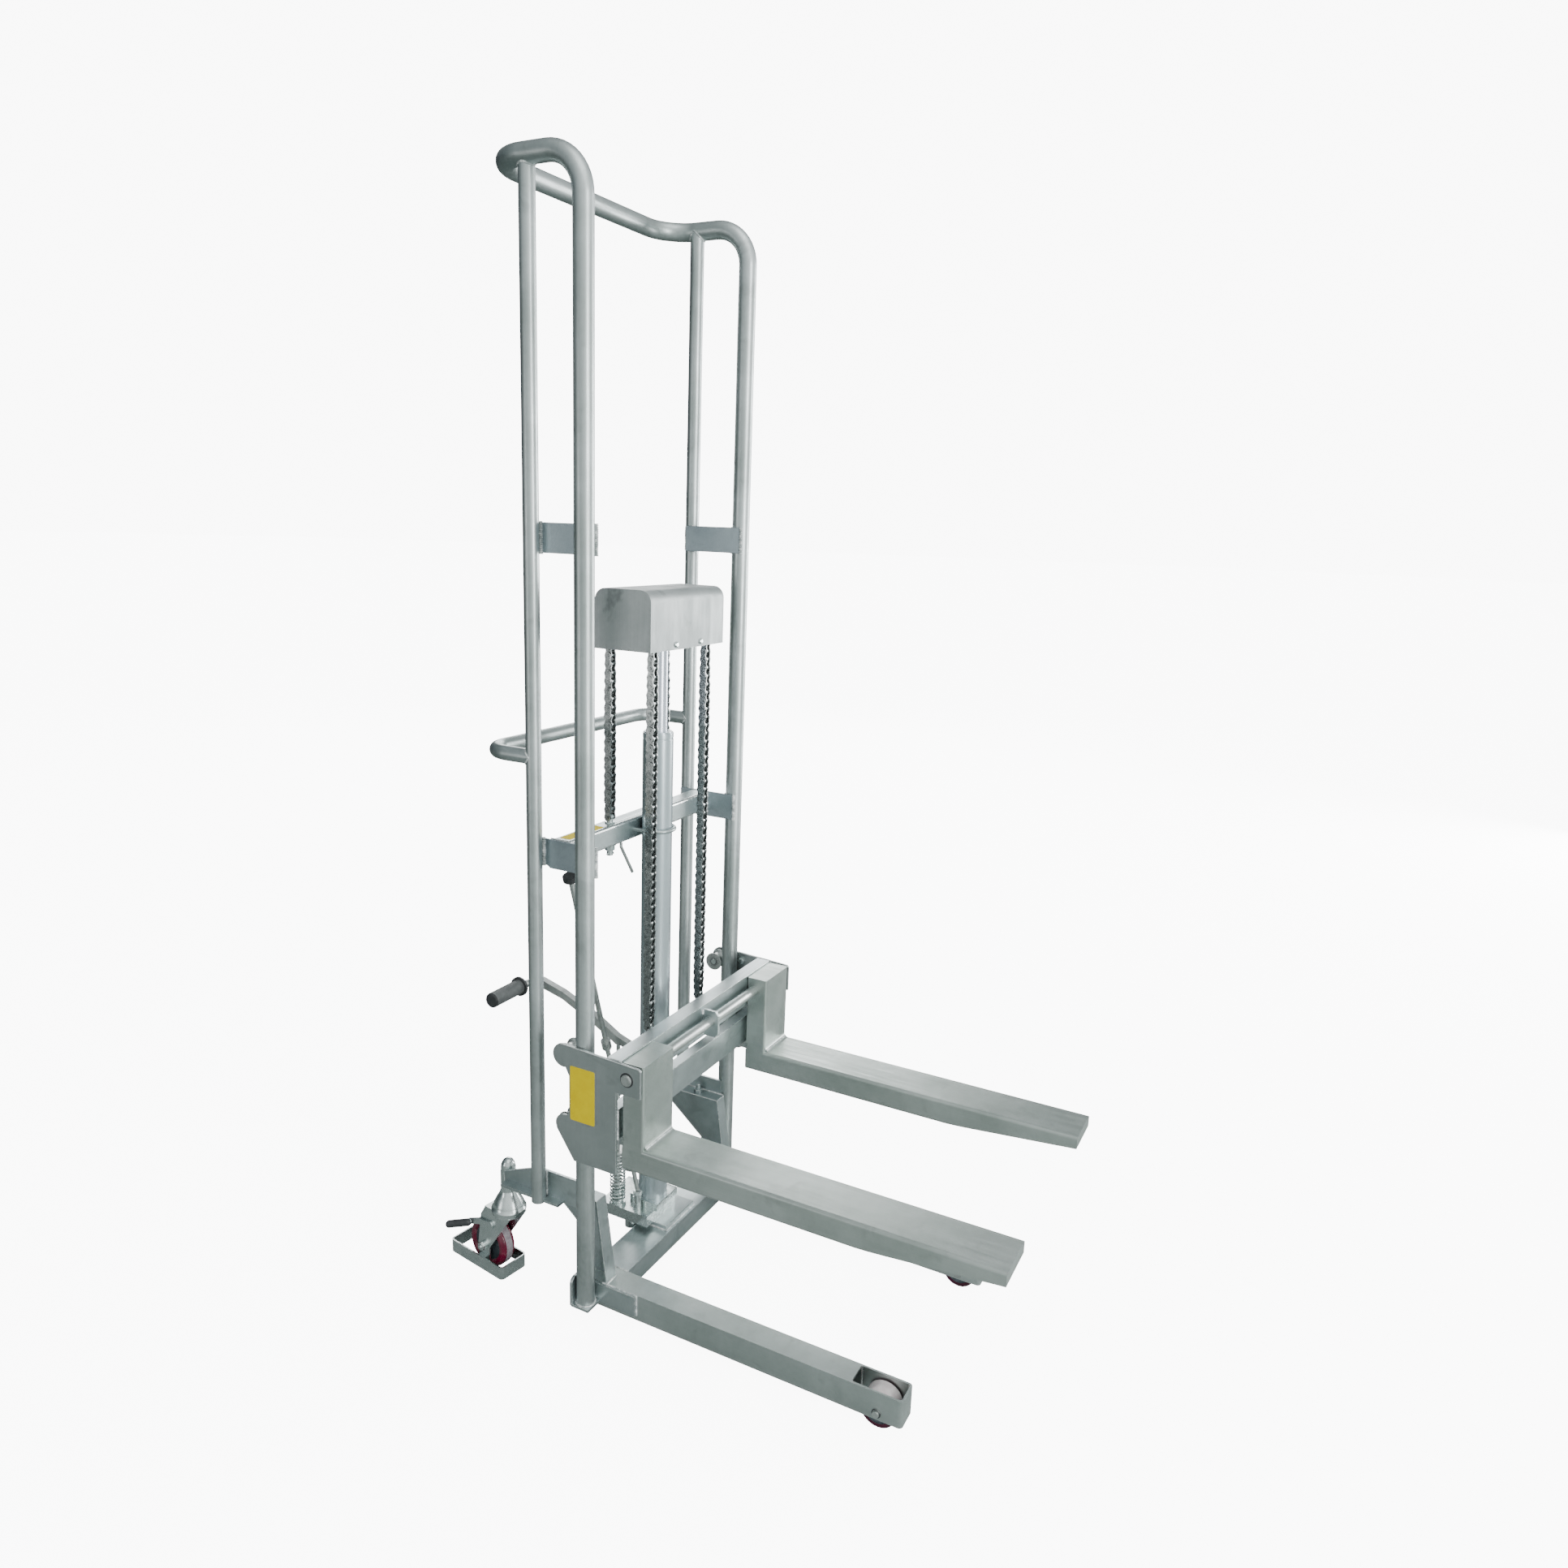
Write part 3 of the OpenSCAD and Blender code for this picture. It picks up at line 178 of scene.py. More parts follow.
# Waves to the metre along each axis, few of them along the grain.
upright_grain = (420, 420, 9)
across_grain = (9, 420, 420)
fork_grain = (420, 9, 420)
tube_steel = steel("tube_steel", (0.64, 0.69, 0.69), (0.45, 0.50, 0.49), upright_grain, 0.3,
                   (0.34, 0.48))
plate_steel = steel("plate_steel", (0.60, 0.66, 0.665), (0.43, 0.49, 0.49), across_grain, 0.3,
                    (0.3, 0.44))
fork_steel = steel("fork_steel", (0.595, 0.645, 0.62), (0.46, 0.515, 0.485), fork_grain, 0.25,
                   (0.32, 0.5))
leg_steel = steel("leg_steel", (0.62, 0.675, 0.66), (0.48, 0.535, 0.515), fork_grain, 0.28,
                  (0.32, 0.48))
side_steel = steel("side_steel", (0.50, 0.545, 0.54), (0.40, 0.445, 0.44), upright_grain, 0.3,
                   (0.34, 0.5))
cover_steel = steel("cover_steel", (0.55, 0.58, 0.58), (0.40, 0.435, 0.435), (60, 420, 9), 0.9,
                    (0.5, 0.62), 15.0)
# A darker copy of the plate steel for the tie plates: painted shade, because their faces turn away from the light.
shaded_tie_steel = steel("shaded_tie_steel", (0.42, 0.49, 0.52), (0.31, 0.37, 0.40), across_grain, 0.3,
                  (0.38, 0.5))

bead_steel = Finish("bead_steel", (0.86, 0.87, 0.86), 0.3, 0.36)
bead_steel.mottle(110, 3, (0.42, 0.46, 0.455), (0.95, 0.96, 0.95), (0.42, 0.64))
bead_steel.relief((bead_steel.cloud(700, 2), 0.05))

# Bright rims for broken corners: partly burnished steel, partly a painted highlight along the edges.
burnished_highlight_edge = Finish("burnished_highlight_edge", (0.86, 0.90, 0.885), 1.0, 0.24)
burnished_highlight_edge.mottle(90, 3, (0.72, 0.77, 0.75), (0.93, 0.95, 0.94))
burnished_highlight_edge.sheen_of(burnished_highlight_edge.cloud(120, 2), 0.18, 0.32)

cylinder_enamel = Finish("cylinder_enamel", (0.54, 0.62, 0.65), 0.75, 0.3, Coat_Weight=0.35,
                         Coat_Roughness=0.18)
cylinder_enamel.mottle((14, 14, 5), 4, (0.48, 0.56, 0.59), (0.60, 0.68, 0.71))
cylinder_enamel.relief((cylinder_enamel.cloud(240, 2), 0.02))

rod_chrome = Finish("rod_chrome", (0.84, 0.88, 0.98), 0.8, 0.2)
rod_chrome.sheen_of(rod_chrome.cloud((40, 40, 8), 3), 0.18, 0.26)

shaft_steel = Finish("shaft_steel", (0.58, 0.60, 0.58), 1.0, 0.36)
shaft_steel.sheen_of(shaft_steel.cloud((30, 700, 700), 3), 0.3, 0.46)
shaft_steel.mottle((12, 60, 60), 3, (0.50, 0.53, 0.515), (0.66, 0.69, 0.67))

zinc = Finish("zinc_plate", (0.74, 0.80, 0.79), 1.0, 0.25)
zinc_tones = zinc.tones(zinc.cloud(34, 3), [(0.3, (0.62, 0.69, 0.675)), (0.7, (0.80, 0.85, 0.84))])
zinc_spots = zinc.band(zinc.cloud(40, 3), 0.55, 0.8, 0.0, 0.35)
zinc.paint(zinc.over(zinc_tones, (0.42, 0.47, 0.45), zinc_spots))
zinc.sheen_of(zinc.cloud(60, 3), 0.18, 0.32)
zinc.relief((zinc.cloud(160, 2), 0.008))

dark_steel = Finish("dark_steel", (0.17, 0.18, 0.19), 1.0, 0.34)
dark_steel.mottle(90, 4, (0.10, 0.11, 0.115), (0.26, 0.275, 0.28))
dark_steel.sheen_of(dark_steel.cloud(200, 2), 0.24, 0.45)

chain_plate = Finish("chain_plate", (0.22, 0.245, 0.25), 1.0, 0.26)
chain_plate.mottle(130, 4, (0.17, 0.185, 0.185), (0.42, 0.44, 0.435))
chain_plate.sheen_of(chain_plate.cloud(240, 3), 0.16, 0.36)
chain_plate.relief((chain_plate.cloud(500, 2), 0.02))

chain_roller = Finish("chain_roller", (0.52, 0.55, 0.55), 1.0, 0.16)
chain_roller.mottle(160, 3, (0.24, 0.265, 0.27), (0.50, 0.53, 0.53), (0.35, 0.65))
chain_roller.sheen_of(chain_roller.cloud(300, 2), 0.1, 0.24)

wine_tread = Finish("wine_tread", (0.14, 0.0015, 0.03), 0.0, 0.26, Subsurface_Weight=0.08,
                    Subsurface_Scale=0.006, Coat_Weight=0.4, Coat_Roughness=0.12)
wine_tread.mottle(45, 4, (0.10, 0.001, 0.02), (0.21, 0.003, 0.04))
wine_tread.relief((wine_tread.cloud(300, 2), 0.02))

# A darker copy of the wine tread for the load rollers' tyres: painted shade, because they sit in the shadow under
# the legs.
shaded_wine = Finish("shaded_wine", (0.05, 0.0015, 0.016), 0.0, 0.4)
shaded_wine.mottle(45, 4, (0.035, 0.001, 0.012), (0.08, 0.002, 0.025))
shaded_wine.relief((shaded_wine.cloud(300, 2), 0.02))

worn_tread = Finish("worn_tread", (0.56, 0.52, 0.53), 0.0, 0.55)
worn_tread.mottle(80, 5, (0.27, 0.22, 0.25), (0.50, 0.46, 0.49))
worn_tread.relief((worn_tread.cloud(420, 3), 0.05))

pale_tread = Finish("pale_tread", (0.72, 0.66, 0.66), 0.0, 0.45)
pale_tread.mottle(60, 4, (0.60, 0.52, 0.53), (0.80, 0.75, 0.74))
pale_tread.relief((pale_tread.cloud(420, 3), 0.04))

hub_grey = Finish("hub_grey", (0.13, 0.155, 0.18), 0.0, 0.42)
hub_grey.mottle(70, 4, (0.09, 0.11, 0.13), (0.18, 0.21, 0.24))
hub_grey.relief((hub_grey.cloud(700, 2), 0.03))

hub_plastic = Finish("hub_plastic", (0.035, 0.05, 0.06), 0.0, 0.4)
hub_plastic.mottle(70, 4, (0.022, 0.03, 0.036), (0.055, 0.075, 0.085))
hub_plastic.relief((hub_plastic.cloud(700, 2), 0.03))

black_rubber = Finish("black_rubber", (0.028, 0.031, 0.034), 0.0, 0.55)
black_rubber.mottle(50, 5, (0.018, 0.02, 0.022), (0.05, 0.055, 0.058))
black_rubber.sheen_of(black_rubber.cloud(160, 3), 0.42, 0.66)
black_rubber.relief((black_rubber.cloud(900, 2), 0.04))

grip_rubber = Finish("grip_rubber", (0.11, 0.12, 0.12), 0.0, 0.6)
grip_rubber.mottle(50, 5, (0.085, 0.095, 0.095), (0.15, 0.16, 0.16))
grip_rubber.relief((grip_rubber.cloud(900, 2), 0.04))

yellow_film = Finish("yellow_film", (0.86, 0.66, 0.0), 0.0, 0.6, Specular_IOR_Level=0.1)
yellow_film.mottle(35, 4, (0.82, 0.61, 0.0), (0.90, 0.70, 0.0))
yellow_film.relief((yellow_film.cloud(110, 2), 0.03))


# Shapes.

smooth_angle = math.radians(32)
sharp_corner = math.radians(40)
flat_angle = math.radians(0.2)


def mesh_object(name, shape, finishes):
    """A smooth object at the origin from a finished shape, sharp only at its real corners."""
    mesh = bpy.data.meshes.new(name)
    shape.to_mesh(mesh)
    shape.free()
    for finish in finishes:
        mesh.materials.append(finish.material)
    mesh.shade_smooth()
    mesh.set_sharp_from_angle(angle=smooth_angle)
    made = bpy.data.objects.new(name, mesh)
    bpy.context.scene.collection.objects.link(made)
    return made


def piece(name, parts, finish, body):
    """New parts joined into one piece that rides on a body."""
    whole = bmesh.new()
    for part in parts:
        mesh = bpy.data.meshes.new("part")
        part.to_mesh(mesh)
        part.free()
        whole.from_mesh(mesh)
        bpy.data.meshes.remove(mesh)
    made = mesh_object(name, whole, [finish])
    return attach(made, body)


def merged_copy(node, whole_faces):
    """A CAD node's mesh with its triangles joined and, if asked, its flat faces made whole."""
    loose = bmesh.new()
    loose.from_mesh(frame["nodes"][node].data)
    bmesh.ops.remove_doubles(loose, verts=loose.verts, dist=2e-6)
    loose.verts.index_update()
    shape = bmesh.new()
    corners = [shape.verts.new(v.co) for v in loose.verts]
    for face in loose.faces:
        shape.faces.new([corners[v.index] for v in face.verts])
    loose.free()
    shape.normal_update()
    if whole_faces:
        bmesh.ops.dissolve_limit(shape, angle_limit=flat_angle, verts=shape.verts,
                                 edges=shape.edges, use_dissolve_boundaries=False)
    return shape


def break_edges(shape, width):
    """Rounds the sharp corners, as grinding leaves them. The width is in millimetres."""
    corners = [e for e in shape.edges
               if e.is_manifold and e.is_convex and e.calc_face_angle(0) > sharp_corner]
    bmesh.ops.bevel(shape, geom=corners, offset=width / 1000, offset_type="OFFSET", segments=2,
                    profile=0.5, affect="EDGES", clamp_overlap=True, material=-1)
    bmesh.ops.recalc_face_normals(shape, faces=shape.faces)


def dressed(node, finishes, zone=None, edge=0.0, rim=None):
    """A finished copy that stands for a CAD node, with one finish for each zone of it.

    The edge is the width of its broken corners in millimetres, and rim is the number of the
    finish that they get, if it isn't the first."""
    shape = merged_copy(node, edge > 0)
    if edge:
        break_edges(shape, edge)
    if rim is not None:
        # The faces of a broken corner are narrower than this part of its width, in metres.
        narrow = 0.0009
        for face in shape.faces:
            if face.calc_area() < max(e.calc_length() for e in face.edges) * edge * narrow:
                face.material_index = rim
    if zone:
        for face in shape.faces:
            face.material_index = zone(face.calc_center_median())
    made = mesh_object(node + "_dressed", shape, finishes)
    even = made.modifiers.new("even_shading", "WEIGHTED_NORMAL")
    even.keep_sharp = True
    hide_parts(node)
    return made


def stand(shape, centre, along, spin=0.0):
    """Stands a shape made about the Z axis on a point, facing a direction."""
    lean = Vector((0, 0, 1)).rotation_difference(Vector(along)).to_matrix().to_4x4()
    place = Matrix.Translation(centre) @ lean @ Matrix.Rotation(spin, 4, "Z")
    bmesh.ops.transform(shape, matrix=place, verts=shape.verts)
    return shape


def turned(profile, centre, along, steps=32):
    """A turned part: radius and height pairs in millimetres, spun about an axis."""
    shape = bmesh.new()
    corners = [shape.verts.new((r / 1000, 0, h / 1000)) for r, h in profile]
    edges = [shape.edges.new(pair) for pair in zip(corners, corners[1:])]
    bmesh.ops.spin(shape, geom=corners + edges, cent=(0, 0, 0), axis=(0, 0, 1), angle=math.tau,
                   steps=steps, use_merge=True)
    bmesh.ops.remove_doubles(shape, verts=shape.verts, dist=1e-7)
    bmesh.ops.recalc_face_normals(shape, faces=shape.faces)
    return stand(shape, centre, along)


def hex_head(size, height, centre, along, spin=0.0):
    """A hexagon head or nut, given over its flats, with its outer corners turned down."""
    corner_share = 0.05
    shape = bmesh.new()
    radius = size / 2 / math.cos(math.pi / 6) / 1000
    bmesh.ops.create_cone(shape, cap_ends=True, segments=6, radius1=radius, radius2=radius,
                          depth=height / 1000)
    bmesh.ops.translate(shape, vec=(0, 0, height / 2000), verts=shape.verts)
    top = [e for e in shape.edges if all(v.co.z > height / 2000 for v in e.verts)]
    bmesh.ops.bevel(shape, geom=top, offset=size * corner_share / 1000, offset_type="OFFSET",
                    segments=2, profile=0.5, affect="EDGES", clamp_overlap=True, material=-1)
    return stand(shape, centre, along, spin)


def spread(points, step):
    """Points laid evenly along a broken line, a step in millimetres apart."""
    laid = []
    for start, end in zip(points, points[1:]):
        count = max(1, round((end - start).length * 1000 / step))
        laid += [start.lerp(end, k / count) for k in range(count)]
    return laid + [points[-1]]


def run(points, size, ripple=0.0, closed=False):
    """A round run along points: a weld bead where it has ripples, otherwise a wire.

    The size is its radius in millimetres."""
    path = bpy.data.curves.new("run", "CURVE")
    path.dimensions = "3D"
    path.bevel_depth = size / 1000
    path.bevel_resolution = 2
    path.use_fill_caps = not closed
    line = path.splines.new("POLY")
    line.points.add(len(points) - 1)
    line.use_cyclic_u = closed
    knots_in_ripple = 4
    wander_scale = 90
    wander_share = 0.9
    for number, (knot, point) in enumerate(zip(line.points, points)):
        knot.co = (*point, 1)
        wave = math.sin(number * math.tau / knots_in_ripple)
        wander = noise.noise(point * wander_scale)
        knot.radius = 1 + ripple * (wave + wander_share * wander)
    holder = bpy.data.objects.new("run", path)
    bpy.context.scene.collection.objects.link(holder)
    bpy.context.view_layer.update()
    evaluated = holder.evaluated_get(bpy.context.evaluated_depsgraph_get())
    mesh = bpy.data.meshes.new_from_object(evaluated)
    bpy.data.objects.remove(holder)
    shape = bmesh.new()
    shape.from_mesh(mesh)
    bpy.data.meshes.remove(mesh)
    bmesh.ops.remove_doubles(shape, verts=shape.verts, dist=1e-6)
    bmesh.ops.recalc_face_normals(shape, faces=shape.faces)
    return shape


def weld(points, size):
    """A rippled weld bead along a broken line."""
    step, ripple = 0.8, 0.2
    return run(spread(points, step), size, ripple)


def ring_weld(place, size):
    """A weld bead round a joint, where place gives the point in metres at each angle."""
    steps, ripple = 90, 0.13
    return run([place(k * math.tau / steps) for k in range(steps)], size, ripple, True)


def plate(width, height, corner, thick):
    """A thin plate with rounded corners, lying flat about the origin."""
    shape = bmesh.new()
    bmesh.ops.create_grid(shape, x_segments=1, y_segments=1, size=0.5)
    bmesh.ops.scale(shape, vec=(width / 1000, height / 1000, 1), verts=shape.verts)
    bmesh.ops.bevel(shape, geom=shape.verts[:], offset=corner / 1000, offset_type="OFFSET",
                    segments=4, profile=0.5, affect="VERTICES", clamp_overlap=True, material=-1)
    raised = bmesh.ops.extrude_face_region(shape, geom=shape.faces[:])
    top = [v for v in raised["geom"] if isinstance(v, bmesh.types.BMVert)]
    bmesh.ops.translate(shape, vec=(0, 0, thick / 1000), verts=top)
    bmesh.ops.recalc_face_normals(shape, faces=shape.faces)
    return shape


# Finishes on the CAD parts.

bodies_of = {node: body for body, members in frame["record"]["behaviour"]["bodies"].items()
             for node in members}


def wear(finish, edge, *nodes):
    """Gives CAD parts a finish and, where an edge width is given, broken corners.

    The corners of plate, leg and side steel get a bright finish: partly burnished steel, partly a painted
    highlight."""
    burnish_and_highlight = edge > 0 and finish in (plate_steel, leg_steel, side_steel)
    for node in nodes:
        made = dressed(node, [finish, burnished_highlight_edge] if burnish_and_highlight else [finish], None, edge,
                       1 if burnish_and_highlight else None)
        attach(made, bodies_of[node])


wear(tube_steel, 0, "mast_tube", "rear_uprights", "push_handle")
# The tie plates take the darker steel: painted shade.
wear(shaded_tie_steel, 0.8, "tie_plates")
wear(plate_steel, 0.8, "anchor_crossbar", "base_crossmember", "foot_brackets",
     "leg_gussets", "rear_rails", "carriage_top_bar", "carriage_lower_bar", "shaft_bracket",
     "pedal_bracket")
wear(plate_steel, 0, "cylinder_strap")
wear(leg_steel, 1.2, "leg_left", "leg_right")
wear(side_steel, 0.7, "side_plates")
wear(fork_steel, 0.8, "fork_left", "fork_right")
wear(cover_steel, 0, "head_cover")
wear(cylinder_enamel, 0.8, "lift_cylinder")
wear(rod_chrome, 0, "piston_rod")
wear(shaft_steel, 0.8, "fork_shaft", "load_axles", "pump_plunger", "pedal_arm",
     "release_spindle", "return_tube")
wear(zinc, 0.6, "caster_sockets", "pump_block", "release_valve", "pump_barrel", "anchor_bolts",
     "chain_anchors", "roller_pins", "head_yoke")
wear(zinc, 0.5, "caster_fork_left", "caster_fork_right")
wear(dark_steel, 0.4, "head_axle", "chain_wheel_left", "chain_wheel_right")

# The pedal's grip is greyer between its two ends, whose widths are in metres.
grip_low, grip_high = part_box("pedal_grip")
outer_end, inner_end = 0.022, 0.012
grey_from = grip_low.x + outer_end
grey_to = grip_high.x - inner_end
grip = dressed("pedal_grip", [black_rubber, grip_rubber],
               lambda point: 1 if grey_from < point.x < grey_to else 0, 0.8)
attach(grip, bodies_of["pedal_grip"])


def wheel(node, joint, finishes, zones):
    """A wheel whose finishes lie in rings: each zone is a test of distances in millimetres."""
    centre, axle = joint_axis(joint)

    def zone(point):
        across = (point - centre).dot(axle)
        radius = (point - centre - axle * across).length
        return zones(abs(across) * 1000, radius * 1000)

    made = dressed(node, finishes, zone)
    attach(made, bodies_of[node])


def caster_zones(across, radius):
    """The tyre 0, its worn middle 1, the hub 2 and the steel round the axle 3."""
    tread, worn_half = 50.6, 8
    hub, bush = 35.2, 12.4
    if radius > tread and across < worn_half:
        return 1
    if radius < hub and radius > bush:
        return 2
    return 3 if radius < bush else 0


def load_zones(across, radius):
    """The roller's tyre 0, its pale tread 1, the hub 2 and the steel round the axle 3."""
    tread, hub, bush = 31.6, 23, 13.4
    if radius > tread:
        return 1
    if radius > hub:
        return 0
    return 2 if radius > bush else 3


def mast_roller_zones(across, radius):
    """The dark middle 0 and the bright outside 1."""
    middle_part = 12
    return 1 if radius > middle_part else 0


for side in ("left", "right"):
    wheel("caster_wheel_" + side, "caster_roll_" + side,
          [wine_tread, worn_tread, hub_plastic, zinc], caster_zones)
    # The load rollers' tyres take the darker wine: painted shade.
    wheel("load_roller_" + side, "load_roller_turn_" + side,
          [shaded_wine, pale_tread, hub_grey, zinc], load_zones)
    for place in ("upper", "lower", "front"):
        wheel("roller_%s_%s" % (place, side), "roller_%s_%s_turn" % (place, side),
              [dark_steel, shaft_steel], mast_roller_zones)
    hinge, tip = joint_axis("brake_tip_" + side)
    bare_half = 3.4
    lever = dressed("brake_lever_" + side, [zinc, black_rubber],
                    lambda point: 1 if abs((point - hinge).dot(tip)) * 1000 > bare_half else 0, 0.4)
    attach(lever, "brake_" + side)


# Chains: plates and rollers have their own finishes, and the wraps ride on the ram.

def chain_zone(point):
    """The rollers 1, in the middle of the chain, and the plates 0 on either side of them."""
    roller_half = 4.6
    return 1 if abs(abs(point.x) * 1000 - chain_x) < roller_half else 0


def fuller(run_object, middle_y, low_z):
    """Widens a chain's plates about the line of its pins, but not near its ends.

    The widening grows over some height above the foot and fades out under the cover."""
    most = 0.2
    foot, foot_rise = 11, 26
    top_z, top_rise = 1225, 60
    middle = at(0, middle_y, 0).y
    for corner in run_object.data.vertices:
        height = corner.co.z * 1000
        share = min((height - low_z - foot) / foot_rise, (top_z - height) / top_rise, 1)
        corner.co.y = middle + (corner.co.y - middle) * (1 + most * max(share, 0))


rear_run = dressed("chain_rear", [chain_plate, chain_roller], chain_zone)
fuller(rear_run, 67.7, 929.9)
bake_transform(rear_run)
front_run = dressed("chain_front", [chain_plate, chain_roller], chain_zone)
fuller(front_run, -23.7, 533)
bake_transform(front_run)
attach(dressed("chain_wraps", [chain_plate, chain_roller], chain_zone), "ram")

# The return spring: a round wire coil from the barrel's foot to the collar.
spring_low, spring_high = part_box("pump_spring")
turns, fine = 14, 24
wire, coil_radius, coil_length = 1.6, 14.5, 110
coil_foot = spring_low.z * 1000 + wire
coil = []
for step in range(turns * fine + 1):
    climb = step / (turns * fine)
    angle = math.tau * turns * climb
    coil.append(at(-52 + coil_radius * math.cos(angle), 73 + coil_radius * math.sin(angle),
                   coil_foot + (coil_length - 2 * wire) * climb))
spring = mesh_object("return_spring", run(coil, wire), [zinc])
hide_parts("pump_spring")
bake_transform(spring)

# The release knob is black, the rest of its rod is steel.
knob_top = at(-218, 62, 851)
knob_way = (at(-84, 76, 456) - knob_top).normalized()
knob_length = 0.0112
release = dressed("release_rod", [shaft_steel, black_rubber],
                  lambda point: 1 if (point - knob_top).dot(knob_way) < knob_length else 0, 0.8)
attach(release, "release_rod")


def both_sides(make):
    """One shape on each side of the machine: make is called with -1 and with 1."""
    return [make(-1), make(1)]


def bead(size, *points):
    """A weld bead on each side through points given in millimetres for the right side."""
    return both_sides(lambda side: weld([at(side * x, y, z) for x, y, z in points], size))


def hoop(size, place):
    """A weld bead round a joint on each side.

    From an angle's cosine and sine, place gives millimetres for the right side."""
    def ring(side):
        def spot(angle):
            x, y, z = place(math.cos(angle), math.sin(angle))
            return at(side * x, y, z)
        return ring_weld(spot, size)
    return both_sides(ring)


# Weld beads on the frame: first round the ends of tubes, then along the edges of plates.
rear_half, rear_y = 253.5, 111.5
rear_ring, loop_ring, foot_ring = 13.8, 17.4, 17.8
loop_z, handle_z, foot_z = 2018, 1065, 38.7
loop_offset = mast_half - rear_half


def loop_spot(cosine, sine):
    """A point where a rear upright meets the loop."""
    drop = math.sqrt(loop_ring ** 2 - (rear_ring * cosine - loop_offset) ** 2)
    return rear_half + rear_ring * cosine, rear_y + rear_ring * sine, loop_z - drop


def handle_spot(cosine, sine):
    """A point where the handle meets a rear upright."""
    return (rear_half + rear_ring * cosine, rear_y + rear_ring * abs(sine),
            handle_z + rear_ring * sine)


def foot_spot(cosine, sine):
    """A point round the foot of a mast upright."""
    return mast_half + foot_ring * cosine, foot_ring * sine, foot_z


frame_beads = hoop(1.7, loop_spot) + hoop(1.6, handle_spot) + hoop(1.7, foot_spot)

# The upper and the lower tie plate on the mast's uprights, then on the rear ones.
for low_end, high_end, rear_low_end in ((1413, 1461, 1413), (866, 917, 872)):
    frame_beads += bead(3.4, (238.6, -10.4, low_end - 2), (238.6, -10.4, high_end + 2))
    frame_beads += bead(3.2, (240.8, 9.6, low_end - 2), (240.8, 9.6, high_end + 2))
    frame_beads += bead(3.4, (240.2, 101.4, rear_low_end - 3), (240.2, 101.4, high_end + 3))
    frame_beads += bead(3.0, (239.8, 117.2, rear_low_end), (239.8, 117.2, high_end))

# The crossbar's ends.
frame_beads += bead(1.5, (234.4, 50.9, 877.7), (234.4, 89.7, 877.7), (234.4, 89.7, 918.3),
                    (234.4, 50.9, 918.3), (234.4, 50.9, 877.7))

# Foot brackets and gussets on the legs, the gussets' top flange and the crossmember's ends.
frame_beads += bead(1.6, (234.7, -98.5, 30), (234.7, -98.5, 71), (234.7, -22, 71.3))
frame_beads += bead(1.6, (204.4, -32, 72.6), (204.4, 27, 72.6))
frame_beads += bead(1.6, (206, -32.7, 72.7), (234, -32.7, 72.7))
frame_beads += bead(1.5, (234.5, -6, 236.4), (234.5, 119, 236.4))
frame_beads += bead(1.5, (184.6, -45.4, 30), (184.6, -45.4, 72.1), (184.6, 27, 72.1))

# The rails on the mast's uprights, the rear uprights and the caster sockets.
frame_beads += bead(1.7, (241.3, 9.4, 213), (241.3, 9.4, 267))
frame_beads += bead(1.6, (240.8, 102.0, 219), (240.8, 102.0, 267))
frame_beads += bead(1.6, (240.8, 121.0, 219), (240.8, 121.0, 262))
frame_beads += bead(1.8, (237.8, 206.6, 213), (237.8, 206.6, 225))

# The base plate on the crossmember, and the pedal's bracket on the cylinder.
frame_beads.append(weld([at(-40.6, 26, 72.8), at(-40.6, -38.6, 72.8), at(64.6, -38.6, 72.8),
                         at(64.6, 26, 72.8)], 1.8))
cylinder_y, cylinder_ring = 22, 29.5
for height in (436.6, 463.4):
    arc = []
    for degrees in range(138, 204, 3):
        angle = math.radians(degrees)
        arc.append(at(cylinder_ring * math.cos(angle), cylinder_y + cylinder_ring * math.sin(angle),
                      height))
    frame_beads.append(weld(arc, 1.6))
piece("frame_welds", frame_beads, bead_steel, "frame")

# Weld beads on the carriage and in the heels of the forks.
carriage_beads = bead(1.5, (275.7, -90.4, 494), (275.7, -90.4, 556.6), (275.7, -61, 556.6))
carriage_beads += bead(1.5, (275.7, -84.6, 494), (275.7, -84.6, 551))
carriage_beads += bead(1.5, (275.7, -84.3, 406), (275.7, -84.3, 462))
for low_end, high_end in ((499, 509), (520, 528), (541, 550)):
    carriage_beads += bead(2.2, (3.6, -90.8, low_end), (3.6, -90.8, high_end))
piece("carriage_welds", carriage_beads, bead_steel, "carriage")
for side, name in ((-1, "left"), (1, "right")):
    heel = weld([at(side * 181, -137.6, 399.0), at(side * 266, -137.6, 399.0)], 1.8)
    piece("heel_weld_" + name, [heel], bead_steel, "fork_" + name)

# Screws, cotter pins, bolts, collars on the fork shaft, dark rings of painted shade round the shaft's ends and the
# load axles' buttons, and nuts.
pan_head = [(0, 3.6), (3.4, 3.4), (5.0, 2.2), (5.6, 0)]
bolt_tip = [(0, 3.2), (3.6, 3.2), (4.2, 2.6), (4.2, 0)]
# A thin dark ring round each end of the fork shaft: painted shade in the gap there.
gap_shade_ring = [(11, 0), (11, 0.3), (13.4, 0.3), (13.4, 0), (11, 0)]
collar = [(10.1, 0), (10.1, 2.1), (8.6, 2.1), (8.6, 3.4), (9.9, 3.4), (10.9, 2.4), (10.9, 0),
          (10.1, 0)]
# A thin dark ring on each load axle's end: painted shade round the base of its button.
axle_shade_ring = [(6.2, 0), (6.4, 0.4), (8.0, 0.4), (8.4, 0)]


def shaft_end(side):
    """The middle of the fork shaft's end on one side."""
    return at(side * 281, -106, 528)


